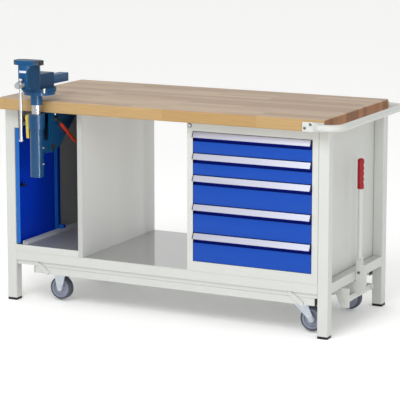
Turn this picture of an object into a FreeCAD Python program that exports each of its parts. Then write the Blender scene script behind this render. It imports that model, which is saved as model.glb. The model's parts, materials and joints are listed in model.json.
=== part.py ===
import FreeCAD, Part
import Sketcher
import os
import re

# Mobile workbench: beech top on a steel frame, vice lift, pocket door, five drawers, push handle and
# caster lift. Millimetres. X runs along the bench, Y from the front to the back, Z up. The floor is at
# Z = 0 and the origin lies under the middle of the overall footprint.

doc = FreeCAD.newDocument("workbench")
sheet = doc.addObject("Spreadsheet::Sheet", "Sizes")

sizes = {
    # worktop
    "topLength": 1500,
    "topDepth": 700,
    "topThick": 50,
    "topEdge": 3,
    "benchHeight": 890,
    # legs and foot caps
    "legSide": 45,
    "legWall": 2.5,
    "legCorner": 4,
    "frontInset": 55,
    "capThick": 10,
    "plugDepth": 15,
    "plugGap": 0.3,
    # rails and sheet metal
    "railTop": 220,
    "railHeight": 40,
    "railDepth": 40,
    "railWall": 2.5,
    "railSetback": 2,
    "gauge": 1.5,
    "shelfFlange": 25,
    "panelFlange": 20,
    "fasciaGap": 2,
    "seamGap": 0.4,
    # vice cabinet
    "viceBayWidth": 333,
    "floorLip": 28,
    "dividerFlange": 22,
    # pocket door, its carriage and rails
    "doorGap": 3,
    "doorThick": 18,
    "doorWidth": 312,
    "doorHeadroom": 66,
    "doorLift": 6,
    "doorFrontGap": 2,
    "hingeGap": 3,
    "hingeRadius": 5,
    "hingeLength": 60,
    "carriageDeep": 18,
    "doorRailWidth": 20,
    "doorRailHeight": 14,
    "doorRailWall": 2,
    "doorRailClear": 6,
    "doorRailFrontGap": 12,
    "doorRailBackGap": 60,
    "slideClear": 0.3,
    "lockRadius": 9,
    "lockFromEdge": 26,
    "lockLength": 20,
    "camLength": 24,
    # drawer cabinet
    "cabinetWidth": 580,
    "frameSide": 26,
    "frameRim": 40,
    "shallowParts": 3,
    "deepParts": 4,
    "drawerSideGap": 2,
    "drawerSeam": 3,
    "frontDeep": 16,
    "trayInset": 16,
    "trayDepth": 570,
    "trayDrop": 34,
    "trayRise": 8,
    "slideWidth": 10,
    "slideHeight": 14,
    "slideRise": 14,
    "runnerWeb": 30,
    "runnerReach": 8,
    "gripReach": 15,
    "gripHeight": 23,
    "gripWall": 2,
    "gripTop": 3,
    "gripFlange": 14,
    "cabinetLockRadius": 9,
    "cabinetLockIn": 13,
    "cabinetLockDrop": 18,
    "cabinetLockProud": 5,
    # push handle
    "handleTube": 28,
    "handleReach": 80,
    "handleBend": 58,
    "plateLength": 90,
    "handleRise": 20,
    "plateHeight": 38,
    "plateThick": 5,
    "plateOverlap": 14,
    # caster lift: hanger strips, swing arms, beams and cross bars
    "stripHeight": 20,
    "stripThick": 5,
    "stripSetback": 10,
    "armLength": 60,
    "armTilt": 36,
    "armWide": 9,
    "armThick": 6,
    "armGap": 0.5,
    "pinRadius": 5,
    "pinFit": 0.05,
    "pinHead": 8,
    "pinHeadThick": 2,
    "pinHeadGap": 0.3,
    "pivotDrop": 10,
    "leftArmIn": 104,
    "rightArmIn": 119,
    "beamDepth": 30,
    "beamHeight": 30,
    "beamWall": 2.5,
    "beamDropGap": 1,
    "beamLeftGap": 89,
    "beamRightGap": 15,
    "endCap": 3,
    "crossWide": 90,
    "crossHigh": 25,
    # casters
    "wheelRadius": 50,
    "wheelWide": 32,
    "wheelLift": 6,
    "tyreThick": 10,
    "hubRadius": 15,
    "hubWide": 36,
    "webThick": 12,
    "axleRadius": 6,
    "forkGap": 3,
    "forkThick": 3,
    "forkEnd": 13,
    "forkTop": 30,
    "casterPlate": 3,
    "leftCasterIn": 175,
    "rightCasterIn": 100,
    "casterTrail": 45,
    "casterTrack": 400,
    "casterShift": -5,
    "headRadius": 30,
    "headHigh": 11,
    "crownRadius": 28,
    "crownThick": 4,
    "headGap": 0.3,
    "swivelPin": 6,
    # hand lever
    "leverPivotIn": 46.5,
    "leverPivotDrop": 25,
    "leverThick": 8,
    "leverPin": 6,
    "leverBoss": 14,
    "leverTube": 10,
    "leverOut": 17,
    "leverTop": 690,
    "gripLength": 126,
    "leverGrip": 14,
    "gripGroove": 2,
    "gripStub": 8,
    "leverPlateTop": 286,
    "leverPlateHalf": 16,
    "railClear": 4,
    "tubeSeat": 12,
    "yokeFront": 137,
    "yokeRear": 160,
    "yokeHigh": 24,
    "yokeThick": 8,
    "yokePin": 7,
    "yokePinFit": 0.3,
    "yokeClear": 1,
    "pushThick": 6,
    "pushLeft": 30,
    "pushRight": 27,
    "pushStep": 20,
    "pushFoot": 22,
    "pushGap": 3,
    "ringRadius": 15,
    "footNeck": 32,
    "footWide": 51,
    "footSlant": 4,
    "footLow": 164,
    "footTop": 249,
    "bracketThick": 6,
    "bracketGap": 0.4,
    "bracketHalf": 14,
    # vice lift
    "viceFromLeft": 214,
    "columnAhead": 33,
    "collarDrop": 4,
    "collarHigh": 62,
    "collarRadius": 35,
    "sleeveLength": 265,
    "sleeveRadius": 29,
    "columnRadius": 21,
    "columnFit": 0.06,
    "columnTail": 30,
    "neckRadius": 25,
    "neckShow": 40,
    "neckHigh": 42,
    "headPlateRadius": 67,
    "headPlateThick": 12,
    "headPlateBack": 24,
    "baseRadius": 71,
    "baseThick": 16,
    "baseGap": 0.3,
    "swivelStud": 14,
    "foldDrop": 150,
    "foldBack": 68,
    "foldPin": 8,
    "cheekThick": 8,
    "cheekGap": 0.4,
    "earHalf": 26,
    "earRadius": 22,
    "bracketPlate": 8,
    "bracketBack": 226,
    "cheekReach": 62,
    "cheekDeep": 34,
    "bracketPlateHalf": 46,
    "bracketLean": 2,
    "clampRadius": 11,
    "clampThick": 13,
    "clampLength": 88,
    "clampHub": 12,
    "clampHubLength": 14,
    "clampDrop": 17,
    "clampTaper": 0.5,
    "clampRound": 3,
    "lockHub": 11,
    "lockHubThick": 16,
    "lockArmRadius": 7.5,
    "lockArmLength": 185,
    "lockTilt": 38,
    "lockGap": 0.4,
    "lockDrop": 34,
    "lockBack": 92,
    # vice
    "jawAhead": 57,
    "jawWide": 125,
    "jawHead": 19,
    "jawHigh": 122,
    "jawDeep": 40,
    "jawBody": 82,
    "jawWaist": 34,
    "jawGap": 0.5,
    "boxWide": 64,
    "boxHigh": 60,
    "boxLength": 147,
    "slideWide": 44,
    "slideHigh": 36,
    "slideFloor": 7,
    "slideFit": 0.3,
    "slideTail": 135,
    "noseDeep": 43,
    "noseHigh": 46,
    "bossRadius": 24,
    "bossLength": 7,
    "spindleRadius": 11,
    "spindleFit": 0.05,
    "spindleShaft": 75,
    "spindleHead": 16,
    "spindleNose": 12,
    "spindleNoseLength": 14,
    "viceReach": 183,
    "headSeat": 0.4,
    "jawEdge": 5,
    "jawFlank": 18,
    "noseWide": 40,
    "noseRound": 10,
    "headRound": 5,
    "tommyRadius": 6.5,
    "tommyFit": 0.05,
    "tommyLength": 240,
    "tommyKnob": 10,
    "tommyKnobLength": 12,
}

# Places worked out from the sizes.
places = {
    "left": "-(topLength + handleReach) / 2",
    "right": "left + topLength",
    "front": "-(topDepth + handleTube - viceReach) / 2",
    "back": "front + topDepth",
    "underTop": "benchHeight - topThick",
    "legFront": "front + frontInset",
    "innerLeft": "left + legSide",
    "innerRight": "right - legSide",
    "railLow": "railTop - railHeight",
    "dividerRight": "innerLeft + viceBayWidth",
    "floorTop": "railTop + floorLip",
    # door
    "doorLeft": "innerLeft + gauge + doorGap",
    "doorFront": "legFront + doorFrontGap",
    "doorBack": "doorFront + doorWidth",
    "doorLow": "floorTop + doorLift",
    "doorTop": "underTop - doorHeadroom - doorRailHeight - doorLift",
    "doorHeight": "doorTop - doorLow",
    "lockHeight": "(doorLow + doorTop) / 2",
    "carriageFront": "doorBack + hingeGap",
    "lowerRailX": "doorLeft + doorThick + doorRailClear",
    "upperRailLow": "doorTop + doorLift",
    "doorRailFront": "legFront + doorRailFrontGap",
    "doorRailLength": "topDepth - frontInset - doorRailFrontGap - doorRailBackGap",
    # drawer cabinet
    "cabinetLeft": "innerRight - cabinetWidth",
    "windowLeft": "cabinetLeft + frameSide",
    "windowWide": "cabinetWidth - 2 * frameSide",
    "windowTop": "underTop - frameRim",
    "windowLow": "railTop + frameRim",
    "drawerPart": "(windowTop - windowLow) / (2 * shallowParts + 3 * deepParts)",
    "shallowHigh": "shallowParts * drawerPart",
    "deepHigh": "deepParts * drawerPart",
    "trayLeft": "windowLeft + trayInset",
    "trayWidth": "windowWide - 2 * trayInset",
    # caster lift
    "armReach": "armLength * cos(armTilt)",
    "armDrop": "armLength * sin(armTilt)",
    "stripFront": "legFront + stripSetback",
    "stripBack": "back - stripSetback",
    "pivotHigh": "railLow - pivotDrop",
    "leftPivot": "innerLeft + leftArmIn",
    "rightPivot": "innerRight - rightArmIn",
    "beamLeft": "innerLeft + beamLeftGap",
    "beamLength": "innerRight - beamRightGap - beamLeft",
    "beamTop": "railLow - stripHeight - beamDropGap",
    "beamLow": "beamTop - beamHeight",
    "frontBeamBack": "stripFront + beamDepth",
    "rearBeamFront": "stripBack - beamDepth",
    "leftCaster": "innerLeft + leftCasterIn",
    "rightCaster": "innerRight - rightCasterIn",
    "middle": "front + topDepth / 2",
    "frontWheel": "middle + casterShift - casterTrack / 2",
    "rearWheel": "middle + casterShift + casterTrack / 2",
    "axleHigh": "wheelLift + wheelRadius",
    "rightWheel": "rightCaster + casterTrail",
    "forkHalf": "wheelWide / 2 + forkGap",
    "plateLow": "beamLow - casterPlate",
    # hand lever
    "leverX": "right - leverPivotIn",
    "leverZ": "railLow - leverPivotDrop",
    "yokeX": "leverX + armReach",
    "yokeZ": "leverZ - armDrop",
    "tubeX": "right + leverOut",
    "gripLow": "leverTop - gripLength",
    # vice lift
    "columnX": "left + viceFromLeft",
    "columnY": "front - columnAhead",
    "collarTop": "underTop - collarDrop",
    "sleeveLow": "collarTop - sleeveLength",
    "neckLow": "collarTop + neckShow",
    "headPlateLow": "neckLow + neckHigh",
    "baseLow": "headPlateLow + headPlateThick + baseGap",
    "baseTop": "baseLow + baseThick",
    "swivelY": "columnY + headPlateBack",
    "foldY": "columnY + foldBack",
    "foldZ": "underTop - foldDrop",
    "bracketFront": "foldY - earRadius + bracketLean",
    "lockY": "columnY + lockBack",
    "lockZ": "underTop - lockDrop",
    # vice
    "jawY": "columnY - jawAhead",
    "jawTop": "baseTop + jawHigh",
    "slideLow": "baseTop + slideFloor",
    "spindleZ": "slideLow + slideHigh / 2",
    "spindleFront": "front - viceReach",
    "bossFront": "jawY - noseDeep - bossLength",
    "headLength": "bossFront - headSeat - spindleFront",
    "tommyY": "spindleFront + (headLength + spindleNoseLength) / 2",
}

for row, (alias, number) in enumerate(sizes.items(), 1):
    sheet.set("A%d" % row, alias)
    sheet.set("B%d" % row, str(number))
    sheet.setAlias("B%d" % row, alias)
doc.recompute()


def bound(text):
    # writes every place out and reads every size from the sheet
    def word(found):
        name = found.group(0)
        if name in places:
            return "(" + bound(places[name]) + ")"
        if name in sizes:
            return "Sizes." + name
        return name
    return re.sub(r"[A-Za-z]\w*", word, text)


def number(text):
    return float(sheet.evalExpression(bound(text)))


def bind(item, **expressions):
    for name, text in expressions.items():
        item.setExpression(name, bound(text))
    return item


def put(item, x, y, z):
    for axis, text in zip("xyz", (x, y, z)):
        item.setExpression("Placement.Base." + axis, bound(text))
    return item


nodes = []


def node(label, item):
    item.Label = label
    nodes.append(item)
    return item


def block(x, y, z, length, width, height):
    item = doc.addObject("Part::Box", "block")
    bind(item, Length=length, Width=width, Height=height)
    return put(item, x, y, z)


# Turns that point a cylinder, which stands along Z, along the named direction.
turns = {
    "+X": FreeCAD.Rotation(FreeCAD.Vector(0, 1, 0), 90),
    "-X": FreeCAD.Rotation(FreeCAD.Vector(0, 1, 0), -90),
    "+Y": FreeCAD.Rotation(FreeCAD.Vector(1, 0, 0), -90),
    "-Y": FreeCAD.Rotation(FreeCAD.Vector(1, 0, 0), 90),
    "+Z": FreeCAD.Rotation(),
    "-Z": FreeCAD.Rotation(FreeCAD.Vector(1, 0, 0), 180),
}


def rod(way, x, y, z, radius, length):
    item = doc.addObject("Part::Cylinder", "rod")
    item.Placement = FreeCAD.Placement(FreeCAD.Vector(), turns[way])
    bind(item, Radius=radius, Height=length)
    return put(item, x, y, z)


def fuse(*items):
    item = doc.addObject("Part::MultiFuse", "fuse")
    item.Shapes = list(items)
    return item


def cut(base, *tools):
    item = doc.addObject("Part::Cut", "cut")
    item.Base = base
    item.Tool = tools[0] if len(tools) == 1 else fuse(*tools)
    return item


def group(*items):
    item = doc.addObject("Part::Compound", "group")
    item.Links = list(items)
    return item


def common(*items):
    item = doc.addObject("Part::MultiCommon", "common")
    item.Shapes = list(items)
    return item


def originPlane(body, role):
    return [part for part in body.Origin.OriginFeatures if part.Role == role][0]


def outlineSketch(body, role, outline):
    # a closed outline whose corners are each tied to the sheet
    sketch = body.newObject("Sketcher::SketchObject", "outline")
    sketch.AttachmentSupport = [(originPlane(body, role), "")]
    sketch.MapMode = "FlatFace"
    corners = [FreeCAD.Vector(number(u), number(v), 0) for u, v in outline]
    count = len(corners)
    for index in range(count):
        sketch.addGeometry(Part.LineSegment(corners[index], corners[(index + 1) % count]))
    for index in range(count):
        sketch.addConstraint(Sketcher.Constraint("Coincident", index, 2, (index + 1) % count, 1))
    for index, (u, v) in enumerate(outline):
        for kind, text, start in (("DistanceX", u, corners[index].x), ("DistanceY", v, corners[index].y)):
            made = sketch.addConstraint(Sketcher.Constraint(kind, -1, 1, index, 1, start))
            sketch.setExpression("Constraints[%d]" % made, bound(text))
    return sketch


def prism(role, outline, thick, x, y, z):
    # an outline on one of the three planes, padded evenly to both sides of that plane
    body = doc.addObject("PartDesign::Body", "prism")
    pad = body.newObject("PartDesign::Pad", "pad")
    pad.Profile = outlineSketch(body, role, outline)
    pad.SideType = "Symmetric"
    bind(pad, Length=thick)
    return put(body, x, y, z)


def turned(outline, way, x, y, z):
    # an outline of radius and height, turned about its height axis
    body = doc.addObject("PartDesign::Body", "turned")
    body.Placement = FreeCAD.Placement(FreeCAD.Vector(), turns[way])
    sketch = outlineSketch(body, "XZ_Plane", outline)
    revolution = body.newObject("PartDesign::Revolution", "revolution")
    revolution.Profile = sketch
    revolution.ReferenceAxis = (sketch, ["V_Axis"])
    revolution.Angle = 360
    return put(body, x, y, z)


def rounded(body, radius, keep):
    # rounds the edges of the last feature that keep() picks
    doc.recompute()
    base = body.Tip
    names = ["Edge%d" % (index + 1) for index, edge in enumerate(base.Shape.Edges) if keep(edge)]
    fillet = body.newObject("PartDesign::Fillet", "fillet")
    fillet.Base = (base, names)
    bind(fillet, Radius=radius)
    return body


def chamfered(body, reach, keep):
    # breaks the edges of the last feature that keep() picks
    doc.recompute()
    base = body.Tip
    names = ["Edge%d" % (index + 1) for index, edge in enumerate(base.Shape.Edges) if keep(edge)]
    chamfer = body.newObject("PartDesign::Chamfer", "chamfer")
    chamfer.Base = (base, names)
    bind(chamfer, Size=reach)
    return body


def upright(edge):
    return abs(edge.tangentAt(edge.FirstParameter).z) > 0.99


def alongX(edge):
    return abs(edge.tangentAt(edge.FirstParameter).x) > 0.99


def everyEdge(edge):
    return True


def rectangle(u, v):
    # an outline centred on its plane's origin
    return [("-(%s) / 2" % u, "-(%s) / 2" % v), ("(%s) / 2" % u, "-(%s) / 2" % v),
            ("(%s) / 2" % u, "(%s) / 2" % v), ("-(%s) / 2" % u, "(%s) / 2" % v)]


# Worktop: a glued beech slab with softened edges.
slab = prism("XY_Plane", rectangle("topLength", "topDepth"), "topThick",
             "left + topLength / 2", "middle", "benchHeight - topThick / 2")
node("worktop", chamfered(slab, "topEdge", everyEdge))

# Legs: square tubes at the corners, flush with the top's ends and back, set in at the front.
legPlaces = [("left + legSide / 2", "legFront + legSide / 2"),
             ("right - legSide / 2", "legFront + legSide / 2"),
             ("left + legSide / 2", "back - legSide / 2"), ("right - legSide / 2", "back - legSide / 2")]
legHigh = "underTop - capThick"
legHollow = "legSide - 2 * legWall"
legs = []
caps = []
for x, y in legPlaces:
    outside = prism("XY_Plane", rectangle("legSide", "legSide"), legHigh, x, y,
                    "capThick + (%s) / 2" % legHigh)
    rounded(outside, "legCorner", upright)
    hollow = block("%s - (%s) / 2" % (x, legHollow), "%s - (%s) / 2" % (y, legHollow), "capThick",
                   legHollow, legHollow, legHigh)
    legs.append(cut(outside, hollow))
    pad = prism("XY_Plane", rectangle("legSide", "legSide"), "capThick", x, y, "capThick / 2")
    rounded(pad, "legCorner", upright)
    plugSide = legHollow + " - 2 * plugGap"
    plug = block("%s - (%s) / 2" % (x, plugSide), "%s - (%s) / 2" % (y, plugSide), "capThick",
                 plugSide, plugSide, "plugDepth")
    caps.append(fuse(pad, plug))
node("legs", group(*legs))
node("foot_caps", group(*caps))


def railTube(x, y, z, length, width, height, wall, way):
    # a rectangular tube, open at both ends along the named way
    inset = {"X": (0, 1, 1), "Y": (1, 0, 1)}[way]
    inner = ["%s + %d * %s" % (text, share, wall) for text, share in zip((x, y, z), inset)]
    size = ["%s - %d * %s" % (text, 2 * share, wall) for text, share in zip((length, width, height), inset)]
    return cut(block(x, y, z, length, width, height), block(*inner, *size))


# Rails between the legs.
longRails = [railTube("innerLeft", y, "railLow", "innerRight - innerLeft", "railDepth", "railHeight",
                      "railWall", "X")
             for y in ("legFront + railSetback", "back - railSetback - railDepth")]
node("long_rails", group(*longRails))
sideSpan = "topDepth - frontInset - 2 * legSide"
node("side_rails", group(*[railTube(x, "legFront + legSide", "railLow", "railDepth", sideSpan, "railHeight",
                                    "railWall", "Y")
                           for x in ("left + railSetback", "right - railSetback - railDepth")]))

# Bottom shelf of the middle bay: a sheet on the rails with two flanges that hang between them.
shelfInner = "legFront + railSetback + railDepth + seamGap"
shelfOuter = "back - railSetback - railDepth - seamGap"
shelfSection = [("legFront", "gauge"), ("legFront", "0"), (shelfInner, "0"), (shelfInner, "-shelfFlange"),
                (shelfInner + " + gauge", "-shelfFlange"), (shelfInner + " + gauge", "0"),
                (shelfOuter + " - gauge", "0"),
                (shelfOuter + " - gauge", "-shelfFlange"), (shelfOuter, "-shelfFlange"), (shelfOuter, "0"),
                ("back", "0"), ("back", "gauge")]
node("bottom_shelf",
     prism("YZ_Plane", shelfSection, "cabinetLeft - dividerRight", "(dividerRight + cabinetLeft) / 2",
           "0", "railTop"))

# Vice cabinet: floor tray with a front lip, left panel with a top flange and a fascia above the door, back
# panel and flanged divider.
node("vice_cabinet_floor", fuse(
    block("innerLeft", "legFront", "railTop", "viceBayWidth - dividerFlange", "gauge", "floorLip"),
    block("innerLeft", "legFront + gauge", "floorTop - gauge", "viceBayWidth - gauge",
          "topDepth - frontInset - 2 * gauge", "gauge")))
leftSection = [("0", "0"), ("gauge", "0"), ("gauge", "underTop - floorTop - gauge"),
               ("panelFlange", "underTop - floorTop - gauge"), ("panelFlange", "underTop - floorTop"),
               ("0", "underTop - floorTop")]
fascia = block("innerLeft", "legFront", "doorTop + fasciaGap", "doorLeft + doorThick - innerLeft", "gauge",
               "underTop - doorTop - fasciaGap")
node("left_panel", fuse(prism("XZ_Plane", leftSection, "topDepth - frontInset", "innerLeft",
                              "(legFront + back) / 2", "floorTop"), fascia))
node("vice_cabinet_back",
     block("innerLeft + gauge", "back - gauge", "floorTop", "viceBayWidth - 2 * gauge", "gauge",
           "underTop - floorTop - gauge"))
dividerSection = [("dividerRight", "legFront"), ("dividerRight", "back"), ("dividerRight - gauge", "back"),
                  ("dividerRight - gauge", "legFront + gauge"),
                  ("dividerRight - dividerFlange", "legFront + gauge"),
                  ("dividerRight - dividerFlange", "legFront")]
node("divider_panel",
     prism("XY_Plane", dividerSection, "underTop - railTop", "0", "0", "(railTop + underTop) / 2"))

# Pocket door: a folded pan on a carriage that runs in a floor rail and an upper rail.
pan = cut(block("doorLeft", "doorFront", "doorLow", "doorThick", "doorWidth", "doorHeight"),
          block("doorLeft + gauge", "doorFront + gauge", "doorLow + gauge", "doorThick",
                "doorWidth - 2 * gauge",
                "doorHeight - 2 * gauge"))
post = block("doorLeft", "carriageFront", "doorLow", "doorThick", "carriageDeep", "doorHeight")
knuckles = [rod("+Z", "doorLeft + hingeRadius", "doorBack + hingeGap / 2", text, "hingeRadius",
                "hingeLength")
            for text in ("doorLow + hingeLength", "doorTop - 2 * hingeLength")]
shoeWide = "doorRailWidth - 2 * doorRailWall - 2 * slideClear"
shoeLow = "floorTop + doorRailWall + slideClear"
shoe = fuse(
    block("doorLeft + doorThick", "carriageFront", "floorTop + doorRailHeight + slideClear",
          "doorRailClear + doorRailWidth", "carriageDeep", "doorRailHeight"),
    block("lowerRailX + doorRailWall + slideClear", "carriageFront", shoeLow, shoeWide, "carriageDeep",
          "doorRailHeight + doorRailWall"))
upperShoe = block("innerLeft + gauge + doorRailWall + slideClear", "carriageFront", "doorTop", shoeWide,
                  "carriageDeep",
                  "doorLift + doorRailHeight - doorRailWall - slideClear")
node("door_panel", fuse(pan, post, *knuckles, shoe, upperShoe))


def doorRail(x, z, grooveLow):
    return cut(block(x, "doorRailFront", z, "doorRailWidth", "doorRailLength", "doorRailHeight"),
               block("%s + doorRailWall" % x, "doorRailFront", grooveLow,
                     "doorRailWidth - 2 * doorRailWall",
                     "doorRailLength", "doorRailHeight"))


node("door_rails", group(doorRail("lowerRailX", "floorTop", "floorTop + doorRailWall"),
                         doorRail("innerLeft + gauge", "upperRailLow", "upperRailLow - doorRailWall")))
lockY2 = "doorFront + lockFromEdge"
node("door_lock", fuse(rod("+X", "doorLeft + gauge", lockY2, "lockHeight", "lockRadius", "lockLength"),
                       block("doorLeft + gauge + lockLength - gauge", lockY2, "lockHeight - lockRadius / 2",
                             "gauge",
                             "camLength", "lockRadius")))

# Drawer cabinet: sides, top and base sheets, back and a one-piece front frame round the drawer window.
cabinetDeep = "topDepth - frontInset - 2 * gauge"
cabinetHigh = "underTop - railTop"
cabinetSides = [block(x, "legFront + gauge", "railTop", "gauge", cabinetDeep, cabinetHigh)
                for x in ("cabinetLeft", "innerRight - gauge")]
cabinetDecks = [block("cabinetLeft + gauge", "legFront + gauge", z, "cabinetWidth - 2 * gauge", cabinetDeep,
                      "gauge")
                for z in ("railTop", "underTop - gauge")]
node("cabinet_shell", group(*cabinetSides, *cabinetDecks))
node("cabinet_back", block("cabinetLeft", "back - gauge", "railTop", "cabinetWidth", "gauge", cabinetHigh))
node("cabinet_frame", cut(block("cabinetLeft", "legFront", "railTop", "cabinetWidth", "gauge", cabinetHigh),
                          block("windowLeft", "legFront", "windowLow", "windowWide", "gauge",
                                "windowTop - windowLow")))
node("cabinet_lock", fuse(
    rod("-Y", "cabinetLeft + cabinetLockIn", "legFront", "underTop - cabinetLockDrop", "cabinetLockRadius",
        "cabinetLockProud / 2"),
    rod("-Y", "cabinetLeft + cabinetLockIn", "legFront", "underTop - cabinetLockDrop",
        "cabinetLockRadius * 0.7",
        "cabinetLockProud")))

# Drawers from the top down: a pan front, an open tray with side slides, and a hooked grip rail.
drawerHeights = ["shallowHigh", "shallowHigh", "deepHigh", "deepHigh", "deepHigh"]
runners = []
drawerTop = "windowTop"
for count, high in enumerate(drawerHeights, 1):
    low = "%s - %s" % (drawerTop, high)
    frontLow = "%s + drawerSeam / 2" % low
    frontHigh = "%s - drawerSeam" % high
    frontLeft = "windowLeft + drawerSideGap"
    frontWide = "windowWide - 2 * drawerSideGap"
    node("drawer_%d_front" % count, cut(
        block(frontLeft, "legFront", frontLow, frontWide, "frontDeep", frontHigh),
        block(frontLeft + " + gauge", "legFront + gauge", frontLow + " + gauge", frontWide + " - 2 * gauge",
              "frontDeep",
              frontHigh + " - 2 * gauge")))
    trayLow = "%s + trayRise" % frontLow
    trayHigh = "%s - trayDrop" % frontHigh
    trayFront = "legFront + frontDeep"
    tray = cut(block("trayLeft", trayFront, trayLow, "trayWidth", "trayDepth", trayHigh),
               block("trayLeft + gauge", trayFront + " + gauge", trayLow + " + gauge",
                     "trayWidth - 2 * gauge",
                     "trayDepth - 2 * gauge", trayHigh))
    slideZ = "%s + slideRise" % trayLow
    slides = [block(x, trayFront, slideZ, "slideWidth", "trayDepth", "slideHeight")
              for x in ("trayLeft - slideWidth", "trayLeft + trayWidth")]
    node("drawer_%d_tray" % count, fuse(tray, *slides))
    gripSection = [("0", "0"), ("-gripTop", "0"), ("-gripReach", "-gripHeight"),
                   ("-gripReach + gripWall", "-gripHeight"),
                   ("-gripWall - gripTop / 3", "-gripWall - gripTop"), ("-gripWall", "-gripWall - gripTop"),
                   ("-gripWall", "-gripFlange"), ("0", "-gripFlange")]
    node("drawer_%d_grip" % count,
         prism("YZ_Plane", gripSection, frontWide, "windowLeft + windowWide / 2", "legFront",
               "%s + %s" % (frontLow, frontHigh)))
    ledgeTop = "%s - slideClear" % slideZ
    ledgeWide = "trayLeft - slideWidth - cabinetLeft - gauge + runnerReach"
    for web, ledge in (("cabinetLeft + gauge", "cabinetLeft + gauge"),
                       ("innerRight - 2 * gauge", "innerRight - gauge - (%s)" % ledgeWide)):
        runners.append(fuse(
            block(web, trayFront, ledgeTop + " - gauge", "gauge", "trayDepth", "runnerWeb"),
            block(ledge, trayFront, ledgeTop + " - gauge", ledgeWide, "trayDepth", "gauge")))
    drawerTop = low
node("drawer_runners", group(*runners))

# Push handle: a bent tube round the right end, its flattened ends on the front and back edges of the top.
handleZ = "underTop + handleRise"
handleFront = "front - handleTube / 2"
handleBack = "back + handleTube / 2"
handleX = "right + handleReach - handleTube / 2"
bendX = "%s - handleBend" % handleX
handleRun = [rod("+X", "right - plateOverlap", y, handleZ, "handleTube / 2",
                 "%s - right + plateOverlap" % bendX)
             for y in (handleFront, handleBack)]
handleRun.append(rod("+Y", handleX, "%s + handleBend" % handleFront, handleZ, "handleTube / 2",
                     "%s - (%s) - 2 * handleBend" % (handleBack, handleFront)))
for y, turn in (("%s + handleBend" % handleFront, -90), ("%s - handleBend" % handleBack, 0)):
    bend = doc.addObject("Part::Torus", "bend")
    bend.Placement = FreeCAD.Placement(FreeCAD.Vector(), FreeCAD.Rotation(FreeCAD.Vector(0, 0, 1), turn))
    bend.Angle3 = 90
    bind(bend, Radius1="handleBend", Radius2="handleTube / 2")
    handleRun.append(put(bend, bendX, y, handleZ))
handlePlates = [block("right - plateLength", y, handleZ + " - plateHeight / 2", "plateLength", "plateThick",
                      "plateHeight") for y in ("front - plateThick", "back")]
node("push_handle", fuse(*handleRun, *handlePlates))

# Caster lift. Hanger strips under the front and rear rails carry the upper pins of the swing arms, and
# the two beams carry the lower ones. All arms and the lever's short arm have one length and tilt, so the
# frame stays level.
pinLength = "armGap + armThick + pinHeadGap"


def headedPin(way, x, y, z):
    stem = rod(way, x, y, z, "pinRadius", pinLength + " + pinHeadThick")
    headY = "%s %s (%s)" % (y, "-" if way == "-Y" else "+", pinLength)
    return [stem, rod(way, x, headY, z, "pinHead", "pinHeadThick")]


stripLow = "railLow - stripHeight"
hangers = []
for y, face, way in (("stripFront", "stripFront", "-Y"), ("stripBack - stripThick", "stripBack", "+Y")):
    strip = block("innerLeft", y, stripLow, "innerRight - innerLeft", "stripThick", "stripHeight")
    hangers.append(fuse(strip, *headedPin(way, "leftPivot", face, "pivotHigh"),
                        *headedPin(way, "rightPivot", face, "pivotHigh")))
node("hanger_strips", group(*hangers))

beams = []
endCaps = []
for y, face, way in (("stripFront", "stripFront", "-Y"), ("rearBeamFront", "stripBack", "+Y")):
    tube = railTube("beamLeft", y, "beamLow", "beamLength", "beamDepth", "beamHeight", "beamWall", "X")
    pins = [pin for x in ("leftPivot", "rightPivot")
            for pin in headedPin(way, x + " + armReach", face, "pivotHigh - armDrop")]
    beams.append(fuse(tube, *pins))
    endCaps += [block(x, y, "beamLow", "endCap", "beamDepth", "beamHeight")
                for x in ("beamLeft - endCap", "beamLeft + beamLength")]
node("caster_beams", group(*beams))
node("beam_caps", group(*endCaps))


def swingArm(x, y):
    # a straight bar with round ends and a hole for each pin
    across = ("armWide * sin(armTilt)", "armWide * cos(armTilt)")
    bar = [(across[0], across[1]), ("armReach + " + across[0], "-armDrop + " + across[1]),
           ("armReach - " + across[0], "-armDrop - " + across[1]), ("-" + across[0], "-" + across[1])]
    middleY = "%s + armThick / 2" % y
    ends = [(x, "pivotHigh"), (x + " + armReach", "pivotHigh - armDrop")]
    solid = fuse(prism("XZ_Plane", bar, "armThick", x, middleY, "pivotHigh"),
                 *[rod("+Y", endX, y, endZ, "armWide", "armThick") for endX, endZ in ends])
    return cut(solid, *[rod("+Y", endX, y, endZ, "pinRadius + pinFit", "armThick") for endX, endZ in ends])


for label, x in (("left_swing_arms", "leftPivot"), ("right_swing_arms", "rightPivot")):
    node(label, group(*[swingArm(x, y) for y in ("stripFront - armGap - armThick", "stripBack + armGap")]))

# Cross bars carry the casters, and the right one carries the two plates that the lever's yoke pushes.
crossSpan = "rearBeamFront - frontBeamBack"
crossBars = [railTube("%s - crossWide / 2" % x, "frontBeamBack", "beamLow", "crossWide", crossSpan,
                      "crossHigh",
                      "beamWall", "Y") for x in ("leftCaster", "rightCaster")]
crossRight = "rightCaster + crossWide / 2"
frontPush = "middle - yokeFront"
rearPush = "middle + yokeRear"
pushOutline = [(crossRight, "beamLow"), ("yokeX - pushLeft", "beamLow + pushStep"),
               ("yokeX - pushLeft / 3", "yokeZ - pushFoot"), ("yokeX + pushRight", "yokeZ - pushFoot"),
               ("yokeX + pushRight", "railLow - pushGap"),
               ("yokeX - pushLeft - pushStep", "railLow - pushGap"), (crossRight, "beamLow + crossHigh")]
ringArm = [(crossRight, "beamLow"), ("yokeX", "yokeZ - ringRadius * 0.8"),
           ("yokeX", "yokeZ + ringRadius * 0.8"), (crossRight, "beamLow + crossHigh")]
ring = fuse(prism("XZ_Plane", ringArm, "pushThick", "0", rearPush, "0"),
            rod("+Y", "yokeX", rearPush + " - pushThick / 2", "yokeZ", "ringRadius", "pushThick"))
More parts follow.
